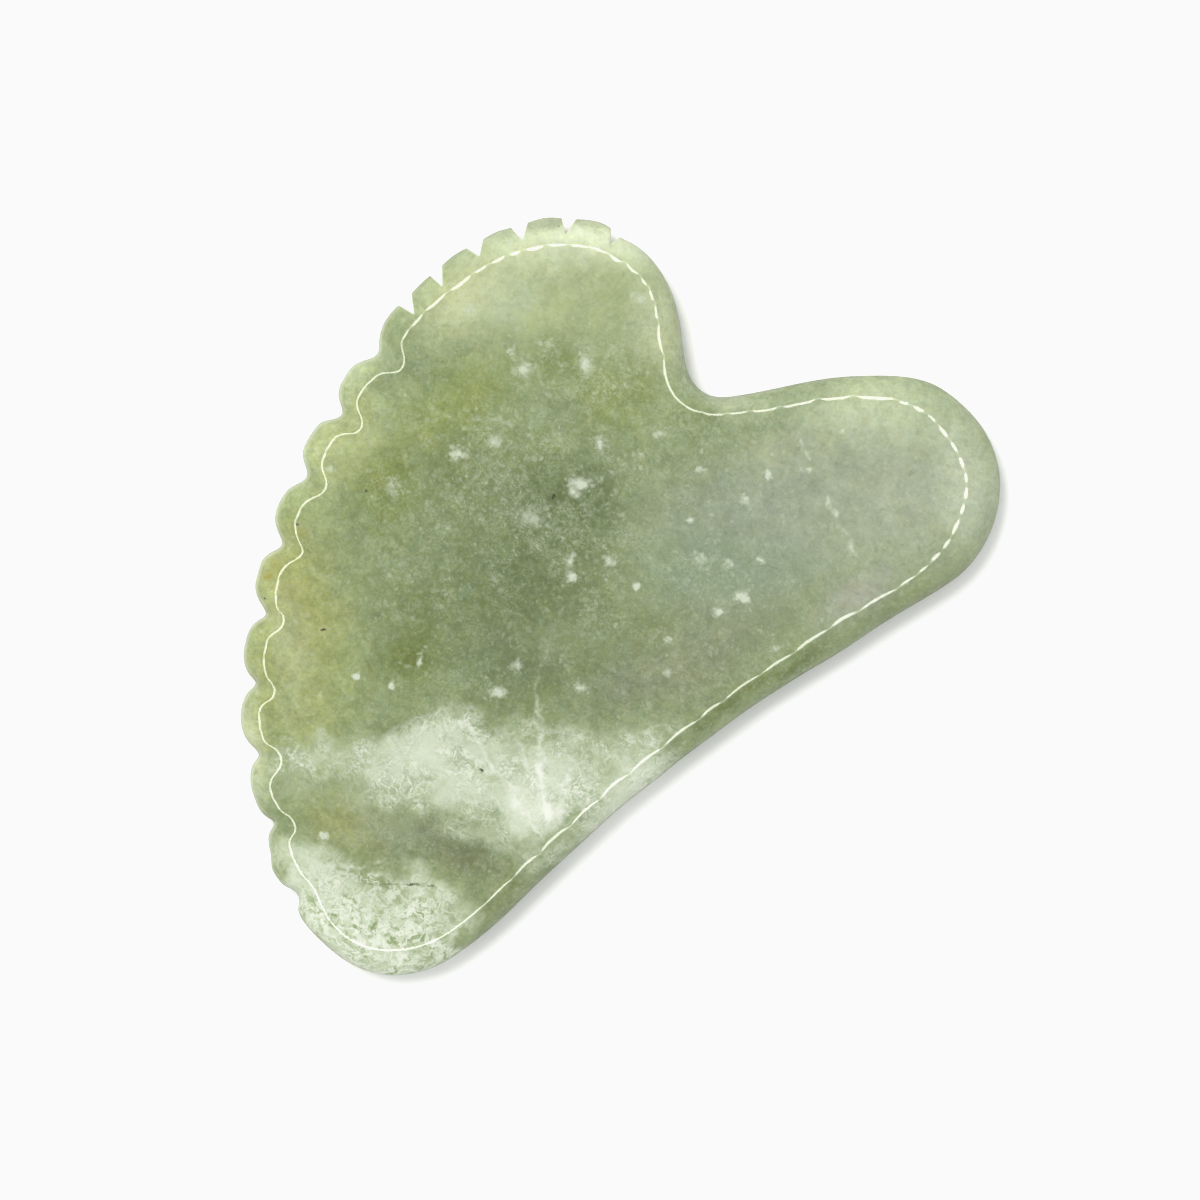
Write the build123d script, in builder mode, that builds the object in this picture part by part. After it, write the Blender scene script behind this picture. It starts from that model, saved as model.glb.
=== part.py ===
from build123d import *
import math
import os

# Gua sha scraper: a heart-shaped plate cut from one slab of jade, millimetres.
#
# Frame: the plate lies flat on its back face. +Z is up through the thickness,
# +Y runs along the heart from the rounded tip to the two lobes, +X runs from
# the comb side to the plain side. The origin is the middle of the plate's
# bounding rectangle, on the back face.

os.makedirs("parts", exist_ok=True)

# Driving dimensions
long_axis = 80.0          # tip to the top of the lobes, along Y
thickness = 6.0           # between the two flats
flank_roundness = 0.70    # rim width / horizontal half axis of the flank ellipse
flank_steps = 4           # loft sections from mid thickness to each flat
slot_root_radius = 0.25   # rounding of the V at the root of each comb slot
slot_overrun = 1.2        # how far each slot cutter reaches past its mouth corners
slot_clearance = 1.0      # how far each slot cutter stands out of each flat

# Stations round the closed rim, clockwise from the top of the comb lobe, drawn
# at table_long_axis. Columns: x, y of the outline at mid thickness, where the
# flank stands upright, then x, y of the arris, where the flank meets the flat.
# The shallow scallops on the -X side are part of the outline, with a small
# nick between them and the tip.
table_long_axis = 80.0
rim_stations = [
    (-15.25, 37.06, -15.24, 35.06), (-13.85, 37.09, -13.92, 35.13), (-12.35, 36.97, -12.65, 35.04),
    (-10.90, 36.54, -11.45, 34.83), (-9.57, 35.92, -10.33, 34.43), (-8.32, 35.16, -9.32, 33.80),
    (-7.12, 34.20, -8.42, 32.90), (-5.93, 32.96, -7.46, 31.68), (-4.75, 31.50, -6.35, 30.24),
    (-3.65, 30.05, -5.18, 28.80), (-2.75, 28.98, -4.17, 27.54), (-1.98, 28.35, -3.17, 26.52),
    (-1.26, 27.96, -2.02, 25.84), (-0.54, 27.74, -0.76, 25.66), (0.24, 27.68, 0.48, 25.86),
    (1.11, 27.85, 1.66, 26.35), (2.09, 28.33, 2.84, 27.07), (3.26, 29.21, 4.15, 28.01),
    (4.66, 30.38, 5.68, 29.11), (6.06, 31.62, 7.20, 30.31), (7.49, 32.92, 8.66, 31.60),
    (8.94, 34.19, 10.08, 32.82), (10.41, 35.36, 11.48, 33.89), (11.94, 36.43, 12.95, 34.85),
    (13.49, 37.41, 14.44, 35.73), (15.01, 38.29, 15.87, 36.40), (16.53, 39.06, 17.29, 36.79),
    (18.09, 39.65, 18.63, 37.03), (19.65, 39.97, 19.77, 37.10), (21.23, 39.96, 20.86, 36.97),
    (22.86, 39.72, 22.05, 36.64), (24.55, 39.28, 23.33, 36.11), (26.18, 38.63, 24.54, 35.51),
    (27.65, 37.73, 25.58, 34.87), (28.92, 36.66, 26.47, 34.14), (29.99, 35.44, 27.20, 33.35),
    (30.83, 34.06, 27.79, 32.46), (31.48, 32.56, 28.23, 31.42), (31.93, 30.93, 28.55, 30.22),
    (32.16, 29.20, 28.76, 28.90), (32.15, 27.46, 28.87, 27.55), (31.91, 25.77, 28.84, 26.27),
    (31.40, 24.16, 28.64, 25.01), (30.65, 22.58, 28.25, 23.58), (29.77, 20.95, 27.64, 21.99),
    (28.82, 19.28, 26.86, 20.31), (27.89, 17.59, 25.97, 18.64), (26.98, 15.87, 24.98, 16.98),
    (26.13, 14.13, 23.95, 15.30), (25.29, 12.42, 23.01, 13.60), (24.39, 10.72, 22.17, 11.86),
    (23.40, 8.99, 21.33, 10.06), (22.44, 7.25, 20.47, 8.28), (21.52, 5.50, 19.56, 6.51),
    (20.63, 3.77, 18.65, 4.74), (19.81, 2.07, 17.84, 2.95), (19.01, 0.30, 17.10, 1.12),
    (18.22, -1.55, 16.31, -0.73), (17.42, -3.39, 15.53, -2.59), (16.65, -5.21, 14.78, -4.46),
    (15.93, -7.07, 14.04, -6.33), (15.21, -8.94, 13.29, -8.19), (14.46, -10.77, 12.58, -10.05),
    (13.75, -12.57, 11.92, -11.91), (13.13, -14.40, 11.28, -13.79), (12.54, -16.28, 10.67, -15.70),
    (11.94, -18.21, 10.09, -17.62), (11.33, -20.14, 9.46, -19.53), (10.74, -22.05, 8.80, -21.43),
    (10.17, -23.93, 8.20, -23.34), (9.64, -25.85, 7.62, -25.27), (9.11, -27.77, 7.05, -27.13),
    (8.51, -29.62, 6.46, -28.90), (7.84, -31.41, 5.82, -30.59), (7.13, -33.09, 5.14, -32.12),
    (6.37, -34.64, 4.38, -33.42), (5.48, -36.06, 3.55, -34.50), (4.38, -37.28, 2.65, -35.44),
    (3.13, -38.32, 1.65, -36.27), (1.75, -39.15, 0.62, -36.92), (0.28, -39.67, -0.44, -37.43),
    (-1.23, -39.95, -1.57, -37.77), (-2.75, -39.99, -2.74, -37.92), (-4.39, -39.80, -3.96, -37.88),
    (-5.97, -39.45, -5.18, -37.61), (-7.61, -38.97, -6.22, -37.15), (-8.75, -38.43, -7.10, -36.61),
    (-9.38, -37.83, -7.84, -36.13), (-9.69, -37.06, -8.54, -35.68), (-10.22, -36.59, -9.16, -35.34),
    (-10.90, -36.48, -9.80, -35.03), (-11.76, -36.53, -10.50, -34.76), (-12.73, -36.23, -11.32, -34.33),
    (-13.77, -35.55, -12.35, -33.69), (-14.47, -34.54, -13.04, -33.13), (-15.13, -33.77, -13.51, -32.59),
    (-15.55, -33.12, -13.63, -31.90), (-15.70, -32.55, -13.58, -31.14), (-15.69, -32.03, -14.09, -30.60),
    (-15.82, -31.56, -14.87, -30.43), (-16.36, -31.43, -15.67, -30.39), (-17.06, -31.38, -16.42, -30.13),
    (-17.91, -31.03, -17.09, -29.73), (-18.76, -30.38, -17.70, -29.25), (-19.54, -29.66, -18.12, -28.66),
    (-20.12, -28.87, -18.29, -27.98), (-20.45, -28.15, -18.21, -27.20), (-20.58, -27.55, -18.09, -26.36),
    (-20.54, -27.02, -18.43, -25.58), (-20.52, -26.51, -19.19, -25.24), (-20.89, -26.16, -20.03, -25.22),
    (-21.50, -25.97, -20.83, -25.10), (-22.28, -25.73, -21.47, -24.62), (-23.15, -25.15, -22.00, -24.03),
    (-23.89, -24.27, -22.47, -23.38), (-24.39, -23.32, -22.81, -22.74), (-24.63, -22.44, -22.95, -22.11),
    (-24.68, -21.74, -22.70, -21.45), (-24.59, -21.20, -22.33, -20.79), (-24.44, -20.73, -22.48, -20.03),
    (-24.48, -20.28, -23.17, -19.64), (-24.93, -20.04, -23.90, -19.34), (-25.55, -19.81, -24.48, -18.82),
    (-26.29, -19.28, -24.88, -18.19), (-27.00, -18.32, -25.19, -17.44), (-27.44, -17.13, -25.48, -16.60),
    (-27.67, -16.04, -25.67, -15.88), (-27.59, -15.22, -25.58, -15.18), (-27.36, -14.66, -25.20, -14.52),
    (-27.12, -14.22, -25.10, -13.75), (-27.04, -13.76, -25.59, -13.16), (-27.40, -13.41, -26.33, -12.88),
    (-27.94, -13.13, -26.92, -12.35), (-28.65, -12.67, -27.28, -11.67), (-29.41, -11.80, -27.54, -10.93),
    (-29.80, -10.56, -27.78, -10.10), (-30.05, -9.38, -27.93, -9.37), (-29.87, -8.43, -27.89, -8.70),
    (-29.52, -7.84, -27.61, -7.97), (-29.25, -7.39, -27.15, -7.25), (-29.13, -6.94, -27.05, -6.45),
    (-29.35, -6.53, -27.77, -5.97), (-29.78, -6.20, -28.47, -5.49), (-30.35, -5.77, -28.97, -4.87),
    (-31.00, -5.03, -29.22, -4.22), (-31.41, -3.92, -29.33, -3.54), (-31.50, -2.70, -29.37, -2.78),
    (-31.32, -1.61, -29.33, -2.04), (-30.93, -0.91, -28.98, -1.30), (-30.62, -0.41, -28.39, -0.61),
    (-30.43, 0.05, -28.21, 0.26), (-30.47, 0.53, -28.71, 0.97), (-30.80, 0.95, -29.44, 1.44),
    (-31.32, 1.40, -29.87, 2.10), (-31.92, 2.15, -30.00, 2.79), (-32.18, 3.34, -30.05, 3.53),
    (-32.12, 4.59, -30.08, 4.34), (-31.92, 5.66, -30.02, 4.99), (-31.42, 6.28, -29.78, 5.63),
    (-31.00, 6.66, -29.21, 6.14), (-30.70, 6.99, -28.49, 6.52), (-30.51, 7.34, -28.13, 7.21),
    (-30.54, 7.72, -28.47, 7.94), (-30.79, 8.06, -29.14, 8.40), (-31.18, 8.41, -29.73, 8.89),
    (-31.67, 8.92, -29.96, 9.54), (-32.04, 9.84, -29.98, 10.15), (-32.09, 11.05, -29.92, 10.86),
    (-31.92, 12.31, -29.76, 11.64), (-31.35, 13.22, -29.57, 12.41), (-30.84, 13.77, -29.14, 13.19),
    (-30.53, 14.24, -28.32, 13.69), (-30.43, 14.71, -27.58, 14.30), (-30.57, 15.16, -27.67, 15.27),
    (-30.83, 15.64, -28.32, 16.00), (-31.12, 16.29, -28.88, 16.71), (-31.36, 17.28, -28.99, 17.47),
    (-31.34, 18.59, -28.90, 18.31), (-30.95, 20.11, -28.67, 19.57), (-30.47, 21.73, -28.31, 21.11),
    (-30.01, 23.41, -27.78, 22.60), (-29.37, 25.06, -27.10, 24.17), (-28.84, 26.77, -26.41, 25.68),
    (-27.96, 28.34, -25.72, 27.07), (-27.03, 29.83, -24.90, 28.50), (-26.13, 31.30, -24.07, 29.69),
    (-24.94, 32.51, -23.13, 30.79), (-23.82, 33.72, -22.03, 31.84), (-22.66, 34.91, -20.99, 32.64),
    (-21.18, 35.74, -19.87, 33.35), (-19.65, 36.49, -18.51, 34.06), (-18.15, 37.16, -17.35, 34.55),
    (-16.62, 37.37, -16.39, 34.84),
]

# Comb slots: six narrow V cuts through the rim of the smaller lobe, drawn at
# table_long_axis. Columns: first mouth corner, root, second mouth corner.
comb_slots = [
    ((-30.94, 19.93), (-29.10, 19.83), (-30.46, 21.54)),
    ((-29.73, 24.09), (-28.04, 23.67), (-29.22, 25.54)),
    ((-27.84, 28.31), (-26.37, 28.19), (-26.98, 29.96)),
    ((-24.92, 32.29), (-23.36, 31.67), (-23.87, 33.42)),
    ((-21.01, 35.59), (-19.95, 34.46), (-19.87, 36.21)),
    ((-16.32, 37.37), (-15.58, 35.78), (-15.10, 36.91)),
]

plan_scale = long_axis / table_long_axis


def flank_levels():
    """(reach, height) of each loft section; reach is 0 at the arris, 1 at the outline.

    The flank is an elliptical arc, upright at mid thickness and scaled to the
    local rim width, that breaks into each flat at a shallow angle.
    """
    half_thickness = thickness / 2
    half_axis_across = 1 / flank_roundness  # in rim widths
    end_angle = math.acos(1 - 1 / half_axis_across)
    half_axis_up = half_thickness / math.sin(end_angle)
    levels = []
    for step in range(-flank_steps, flank_steps + 1):
        angle = end_angle * step / flank_steps
        reach = 1 - half_axis_across * (1 - math.cos(angle))
        levels.append((reach, half_thickness + half_axis_up * math.sin(angle)))
    return levels


def station_parameters():
    """Spline parameters from 0 to 1, spaced by the mean of outline and arris length.

    Every section shares them, so the loft's iso-lines run straight across the rim.
    """
    lengths = [0.0]
    for here, following in zip(rim_stations, rim_stations[1:] + rim_stations[:1]):
        outline_step = math.dist(here[:2], following[:2])
        arris_step = math.dist(here[2:], following[2:])
        lengths.append(lengths[-1] + 0.5 * outline_step + 0.5 * arris_step)
    return [length / lengths[-1] for length in lengths]


def section_points(reach):
    """Points of the closed contour at one reach across the rim."""
    return [
        Vector(
            plan_scale * (arris_x + (outline_x - arris_x) * reach),
            plan_scale * (arris_y + (outline_y - arris_y) * reach),
        )
        for outline_x, outline_y, arris_x, arris_y in rim_stations
    ]


def cutter_corner(root, mouth):
    """Mouth corner of a slot cutter, pushed out past the rim along its wall."""
    length = math.dist(root, mouth)
    stretch = (length + slot_overrun) / length
    return tuple(
        plan_scale * (start + (end - start) * stretch) for start, end in zip(root, mouth)
    )


def make_scraper_plate():
    """Plate lofted through the rim sections, with the comb slots cut right through."""
    parameters = station_parameters()
    with BuildPart() as plate:
        for reach, height in flank_levels():
            with BuildSketch(Plane.XY.offset(height)):
                with BuildLine():
                    add(
                        Edge.make_spline(
                            section_points(reach), periodic=True, parameters=parameters
                        )
                    )
                make_face()
        loft()

        for first_mouth, root, second_mouth in comb_slots:
            root_point = (plan_scale * root[0], plan_scale * root[1])
            with BuildSketch(Plane.XY.offset(-slot_clearance)) as slot_profile:
                with BuildLine():
                    Polyline(
                        cutter_corner(root, first_mouth),
                        root_point,
                        cutter_corner(root, second_mouth),
                        close=True,
                    )
                make_face()
                corners = slot_profile.vertices()
                root_corner = corners.sort_by_distance((*root_point, -slot_clearance))[0]
                fillet(root_corner, radius=slot_root_radius)
            extrude(amount=thickness + 2 * slot_clearance, mode=Mode.SUBTRACT)

    plate.part.label = "scraper_plate"
    return plate.part


export_step(make_scraper_plate(), "parts/scraper_plate.step")
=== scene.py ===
"""Looks of a jade gua sha scraper: one thin jade plate, lying flat with its broad faces up and down.

Metres, +Z up, in the CAD's frame. In plan the plate is about 80 mm long in Y. Its top ends in a
long lobe (+X) and a small lobe (-X) with a notch between, its pale tip points to -Y, and the
scalloped comb side faces -X. Plan tables are in millimetres from the plate's centre.
"""
import math
from functools import reduce
from types import SimpleNamespace

import bpy
import numpy as np
from mathutils import Matrix, Vector
from mathutils.geometry import delaunay_2d_cdt


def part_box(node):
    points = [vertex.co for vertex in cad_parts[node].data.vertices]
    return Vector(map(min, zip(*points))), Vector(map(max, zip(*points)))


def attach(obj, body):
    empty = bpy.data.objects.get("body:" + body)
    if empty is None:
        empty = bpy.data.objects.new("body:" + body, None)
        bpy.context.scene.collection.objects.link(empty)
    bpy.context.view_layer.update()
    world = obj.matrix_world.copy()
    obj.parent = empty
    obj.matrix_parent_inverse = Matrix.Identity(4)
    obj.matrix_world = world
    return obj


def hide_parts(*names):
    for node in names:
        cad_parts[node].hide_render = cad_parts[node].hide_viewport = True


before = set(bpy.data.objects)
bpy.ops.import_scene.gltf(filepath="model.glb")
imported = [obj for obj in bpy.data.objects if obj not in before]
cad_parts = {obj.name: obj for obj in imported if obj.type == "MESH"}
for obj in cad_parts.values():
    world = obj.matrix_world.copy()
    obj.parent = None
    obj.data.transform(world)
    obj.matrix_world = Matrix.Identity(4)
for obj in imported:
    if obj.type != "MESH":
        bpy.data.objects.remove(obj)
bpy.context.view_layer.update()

MM = 0.001
NODE = "scraper_plate"
TABLE_LENGTH = 80.0     # plate length in Y that the plan tables are drawn to, mm
box_low, box_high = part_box(NODE)
PLAN_SCALE = (box_high.y - box_low.y) / MM / TABLE_LENGTH
CENTRE = ((box_high.x + box_low.x) / 2 / MM, (box_high.y + box_low.y) / 2 / MM)
BOTTOM = box_low.z / MM
HALF = (box_high.z - box_low.z) / MM / 2    # half the thickness

# Rim stations, clockwise from above, three to a line. Each is four numbers: outline x, y at mid
# thickness, then x, y of the matching arris, where the flank meets the broad face.
RIM = np.array("""
-15.25 37.06 -15.24 35.06  -13.85 37.09 -13.92 35.13  -12.35 36.97 -12.65 35.04
-10.90 36.54 -11.45 34.83  -9.57 35.92 -10.33 34.43  -8.32 35.16 -9.32 33.80
-7.12 34.20 -8.42 32.90  -5.93 32.96 -7.46 31.68  -4.75 31.50 -6.35 30.24
-3.65 30.05 -5.18 28.80  -2.75 28.98 -4.17 27.54  -1.98 28.35 -3.17 26.52
-1.26 27.96 -2.02 25.84  -0.54 27.74 -0.76 25.66  0.24 27.68 0.48 25.86
1.11 27.85 1.66 26.35  2.09 28.33 2.84 27.07  3.26 29.21 4.15 28.01
4.66 30.38 5.68 29.11  6.06 31.62 7.20 30.31  7.49 32.92 8.66 31.60
8.94 34.19 10.08 32.82  10.41 35.36 11.48 33.89  11.94 36.43 12.95 34.85
13.49 37.41 14.44 35.73  15.01 38.29 15.87 36.40  16.53 39.06 17.29 36.79
18.09 39.65 18.63 37.03  19.65 39.97 19.77 37.10  21.23 39.96 20.86 36.97
22.86 39.72 22.05 36.64  24.55 39.28 23.33 36.11  26.18 38.63 24.54 35.51
27.65 37.73 25.58 34.87  28.92 36.66 26.47 34.14  29.99 35.44 27.20 33.35
30.83 34.06 27.79 32.46  31.48 32.56 28.23 31.42  31.93 30.93 28.55 30.22
32.16 29.20 28.76 28.90  32.15 27.46 28.87 27.55  31.91 25.77 28.84 26.27
31.40 24.16 28.64 25.01  30.65 22.58 28.25 23.58  29.77 20.95 27.64 21.99
28.82 19.28 26.86 20.31  27.89 17.59 25.97 18.64  26.98 15.87 24.98 16.98
26.13 14.13 23.95 15.30  25.29 12.42 23.01 13.60  24.39 10.72 22.17 11.86
23.40 8.99 21.33 10.06  22.44 7.25 20.47 8.28  21.52 5.50 19.56 6.51
20.63 3.77 18.65 4.74  19.81 2.07 17.84 2.95  19.01 0.30 17.10 1.12
18.22 -1.55 16.31 -0.73  17.42 -3.39 15.53 -2.59  16.65 -5.21 14.78 -4.46
15.93 -7.07 14.04 -6.33  15.21 -8.94 13.29 -8.19  14.46 -10.77 12.58 -10.05
13.75 -12.57 11.92 -11.91  13.13 -14.40 11.28 -13.79  12.54 -16.28 10.67 -15.70
11.94 -18.21 10.09 -17.62  11.33 -20.14 9.46 -19.53  10.74 -22.05 8.80 -21.43
10.17 -23.93 8.20 -23.34  9.64 -25.85 7.62 -25.27  9.11 -27.77 7.05 -27.13
8.51 -29.62 6.46 -28.90  7.84 -31.41 5.82 -30.59  7.13 -33.09 5.14 -32.12
6.37 -34.64 4.38 -33.42  5.48 -36.06 3.55 -34.50  4.38 -37.28 2.65 -35.44
3.13 -38.32 1.65 -36.27  1.75 -39.15 0.62 -36.92  0.28 -39.67 -0.44 -37.43
-1.23 -39.95 -1.57 -37.77  -2.75 -39.99 -2.74 -37.92  -4.39 -39.80 -3.96 -37.88
-5.97 -39.45 -5.18 -37.61  -7.61 -38.97 -6.22 -37.15  -8.75 -38.43 -7.10 -36.61
-9.38 -37.83 -7.84 -36.13  -9.69 -37.06 -8.54 -35.68  -10.22 -36.59 -9.16 -35.34
-10.90 -36.48 -9.80 -35.03  -11.76 -36.53 -10.50 -34.76  -12.73 -36.23 -11.32 -34.33
-13.77 -35.55 -12.35 -33.69  -14.47 -34.54 -13.04 -33.13  -15.13 -33.77 -13.51 -32.59
-15.55 -33.12 -13.63 -31.90  -15.70 -32.55 -13.58 -31.14  -15.69 -32.03 -14.09 -30.60
-15.82 -31.56 -14.87 -30.43  -16.36 -31.43 -15.67 -30.39  -17.06 -31.38 -16.42 -30.13
-17.91 -31.03 -17.09 -29.73  -18.76 -30.38 -17.70 -29.25  -19.54 -29.66 -18.12 -28.66
-20.12 -28.87 -18.29 -27.98  -20.45 -28.15 -18.21 -27.20  -20.58 -27.55 -18.09 -26.36
-20.54 -27.02 -18.43 -25.58  -20.52 -26.51 -19.19 -25.24  -20.89 -26.16 -20.03 -25.22
-21.50 -25.97 -20.83 -25.10  -22.28 -25.73 -21.47 -24.62  -23.15 -25.15 -22.00 -24.03
-23.89 -24.27 -22.47 -23.38  -24.39 -23.32 -22.81 -22.74  -24.63 -22.44 -22.95 -22.11
-24.68 -21.74 -22.70 -21.45  -24.59 -21.20 -22.33 -20.79  -24.44 -20.73 -22.48 -20.03
-24.48 -20.28 -23.17 -19.64  -24.93 -20.04 -23.90 -19.34  -25.55 -19.81 -24.48 -18.82
-26.29 -19.28 -24.88 -18.19  -27.00 -18.32 -25.19 -17.44  -27.44 -17.13 -25.48 -16.60
-27.67 -16.04 -25.67 -15.88  -27.59 -15.22 -25.58 -15.18  -27.36 -14.66 -25.20 -14.52
-27.12 -14.22 -25.10 -13.75  -27.04 -13.76 -25.59 -13.16  -27.40 -13.41 -26.33 -12.88
-27.94 -13.13 -26.92 -12.35  -28.65 -12.67 -27.28 -11.67  -29.41 -11.80 -27.54 -10.93
-29.80 -10.56 -27.78 -10.10  -30.05 -9.38 -27.93 -9.37  -29.87 -8.43 -27.89 -8.70
-29.52 -7.84 -27.61 -7.97  -29.25 -7.39 -27.15 -7.25  -29.13 -6.94 -27.05 -6.45
-29.35 -6.53 -27.77 -5.97  -29.78 -6.20 -28.47 -5.49  -30.35 -5.77 -28.97 -4.87
-31.00 -5.03 -29.22 -4.22  -31.41 -3.92 -29.33 -3.54  -31.50 -2.70 -29.37 -2.78
-31.32 -1.61 -29.33 -2.04  -30.93 -0.91 -28.98 -1.30  -30.62 -0.41 -28.39 -0.61
-30.43 0.05 -28.21 0.26  -30.47 0.53 -28.71 0.97  -30.80 0.95 -29.44 1.44
-31.32 1.40 -29.87 2.10  -31.92 2.15 -30.00 2.79  -32.18 3.34 -30.05 3.53
-32.12 4.59 -30.08 4.34  -31.92 5.66 -30.02 4.99  -31.42 6.28 -29.78 5.63
-31.00 6.66 -29.21 6.14  -30.70 6.99 -28.49 6.52  -30.51 7.34 -28.13 7.21
-30.54 7.72 -28.47 7.94  -30.79 8.06 -29.14 8.40  -31.18 8.41 -29.73 8.89
-31.67 8.92 -29.96 9.54  -32.04 9.84 -29.98 10.15  -32.09 11.05 -29.92 10.86
-31.92 12.31 -29.76 11.64  -31.35 13.22 -29.57 12.41  -30.84 13.77 -29.14 13.19
-30.53 14.24 -28.32 13.69  -30.43 14.71 -27.58 14.30  -30.57 15.16 -27.67 15.27
-30.83 15.64 -28.32 16.00  -31.12 16.29 -28.88 16.71  -31.36 17.28 -28.99 17.47
-31.34 18.59 -28.90 18.31  -30.95 20.11 -28.67 19.57  -30.47 21.73 -28.31 21.11
-30.01 23.41 -27.78 22.60  -29.37 25.06 -27.10 24.17  -28.84 26.77 -26.41 25.68
-27.96 28.34 -25.72 27.07  -27.03 29.83 -24.90 28.50  -26.13 31.30 -24.07 29.69
-24.94 32.51 -23.13 30.79  -23.82 33.72 -22.03 31.84  -22.66 34.91 -20.99 32.64
-21.18 35.74 -19.87 33.35  -19.65 36.49 -18.51 34.06  -18.15 37.16 -17.35 34.55
-16.62 37.37 -16.39 34.84
""".split(), float).reshape(-1, 4)

# Comb slots: one mouth corner, the root, the other mouth corner.
SLOTS = [
    ((-30.94, 19.93), (-29.10, 19.83), (-30.46, 21.54)),
    ((-29.73, 24.09), (-28.04, 23.67), (-29.22, 25.54)),
    ((-27.84, 28.31), (-26.37, 28.19), (-26.98, 29.96)),
    ((-24.92, 32.29), (-23.36, 31.67), (-23.87, 33.42)),
    ((-21.01, 35.59), (-19.95, 34.46), (-19.87, 36.21)),
    ((-16.32, 37.37), (-15.58, 35.78), (-15.10, 36.91)),
]
SLOT_EASE = 0.20        # rounding of the slots' top edges, mm
SLOT_SMOOTH = 0.10      # rounding of the slots' corners in plan, mm
SLOT_MARGIN = 0.55      # outline kept with each slot beyond its mouth, mm
SLOT_STEP = 0.075       # spacing of columns along a slot's path, mm


# ---------------------------------------------------------------------------
# Curve helpers
# ---------------------------------------------------------------------------
def smoothstep(x, low, high):
    part = np.clip((x - low) / (high - low), 0, 1)
    return part * part * (3 - 2 * part)


def segment(edges, at):
    """Number of the interval between edges that holds each place."""
    return np.clip(np.searchsorted(edges, at, side="right") - 1, 0, len(edges) - 2)


def travelled(points):
    """Distance covered along a path at each of its points."""
    return np.r_[0, np.cumsum(np.linalg.norm(np.diff(points, axis=0), axis=1))]


def resample(at, distance, points):
    return np.stack([np.interp(at, distance, column) for column in points.T], -1)


def running_mean(values, window):
    """Mean over a window of a table that closes on itself."""
    padded = np.r_[values[-window:], values, values[:window]]
    return np.convolve(padded, np.ones(window) / window, "same")[window:-window]


def periodic_spline(knots, values):
    """Cubic spline through values at knots[:-1], closed at knots[-1]; returns f(at, derivative)."""
    count = len(values)
    gaps = np.diff(knots)
    matrix = np.zeros((count, count))
    rhs = np.zeros_like(values)
    for i in range(count):
        after = (i + 1) % count
        matrix[i, (i - 1) % count] += gaps[i - 1]
        matrix[i, i] += 2 * (gaps[i - 1] + gaps[i])
        matrix[i, after] += gaps[i]
        rise_after = (values[after] - values[i]) / gaps[i]
        rhs[i] = 6 * (rise_after - (values[i] - values[i - 1]) / gaps[i - 1])
    bends = np.linalg.solve(matrix, rhs)
    next_values, next_bends = np.roll(values, -1, 0), np.roll(bends, -1, 0)

    def spline(at, derivative=0):
        at = np.mod(at, knots[-1])
        k = segment(knots, at)
        gap = gaps[k][..., None]
        b = ((at - knots[k]) / gaps[k])[..., None]
        a = 1 - b
        if derivative == 0:
            bend = (a**3 - a) * bends[k] + (b**3 - b) * next_bends[k]
            return a * values[k] + b * next_values[k] + gap**2 / 6 * bend
        bend = (1 - 3 * a**2) * bends[k] + (3 * b**2 - 1) * next_bends[k]
        return (next_values[k] - values[k]) / gap + gap / 6 * bend

    return spline


def bend_radius(points, at):
    first = np.gradient(points, at, axis=0)
    second = np.gradient(first, at, axis=0)
    cross = np.abs(first[:, 0] * second[:, 1] - first[:, 1] * second[:, 0])
    return 1 / np.maximum(cross / (first**2).sum(1) ** 1.5, 1e-3)


# ---------------------------------------------------------------------------
# Rim curves. "along" is the place round the rim, "reach" goes from the arris (0) to the
# outline (1), "width" is the distance between them and "out" the distance outward of the arris.
# ---------------------------------------------------------------------------
_step = 0.5 * np.linalg.norm(np.roll(RIM[:, :2], -1, 0) - RIM[:, :2], axis=1)
_step += 0.5 * np.linalg.norm(np.roll(RIM[:, 2:], -1, 0) - RIM[:, 2:], axis=1)
KNOTS = np.r_[0.0, np.cumsum(_step)]
PERIOD = KNOTS[-1]

curve = periodic_spline(KNOTS, RIM)
DENSE_AT = np.linspace(0, PERIOD, 24001)[:-1]
_dense = curve(DENSE_AT)
OUTLINE, ARRIS = _dense[:, :2], _dense[:, 2:]
RIM_RADIUS = np.minimum(bend_radius(OUTLINE, DENSE_AT), bend_radius(ARRIS, DENSE_AT))


def look_up(along, table):
    """Value of a table kept at DENSE_AT."""
    return np.interp(np.mod(along, PERIOD), DENSE_AT, table)


def plan(along, reach):
    point = curve(along)
    return point[..., 2:] + (point[..., :2] - point[..., 2:]) * np.asarray(reach)[..., None]


def rim_width(along):
    point = curve(along)
    return np.linalg.norm(point[..., :2] - point[..., 2:], axis=-1)


def to_rim(points):
    """Inverse of plan(), by Newton's method: (along, reach) of points near the rim."""
    points = np.asarray(points, float)
    k = np.argmin(((points[:, None, :] - OUTLINE[None, ::4, :]) ** 2).sum(-1), 1) * 4
    along, reach = DENSE_AT[k].copy(), np.full(len(points), 0.9)
    for _ in range(12):
        point, slope = curve(along), curve(along, 1)
        across = point[:, :2] - point[:, 2:]
        miss = point[:, 2:] + across * reach[:, None] - points
        drift = slope[:, 2:] + (slope[:, :2] - slope[:, 2:]) * reach[:, None]
        det = drift[:, 0] * across[:, 1] - drift[:, 1] * across[:, 0]
        fix_along = (miss[:, 0] * across[:, 1] - miss[:, 1] * across[:, 0]) / det
        fix_reach = (drift[:, 0] * miss[:, 1] - drift[:, 1] * miss[:, 0]) / det
        along -= np.clip(fix_along, -0.5, 0.5)
        reach -= np.clip(fix_reach, -0.4, 0.4)
    return along, reach


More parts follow.
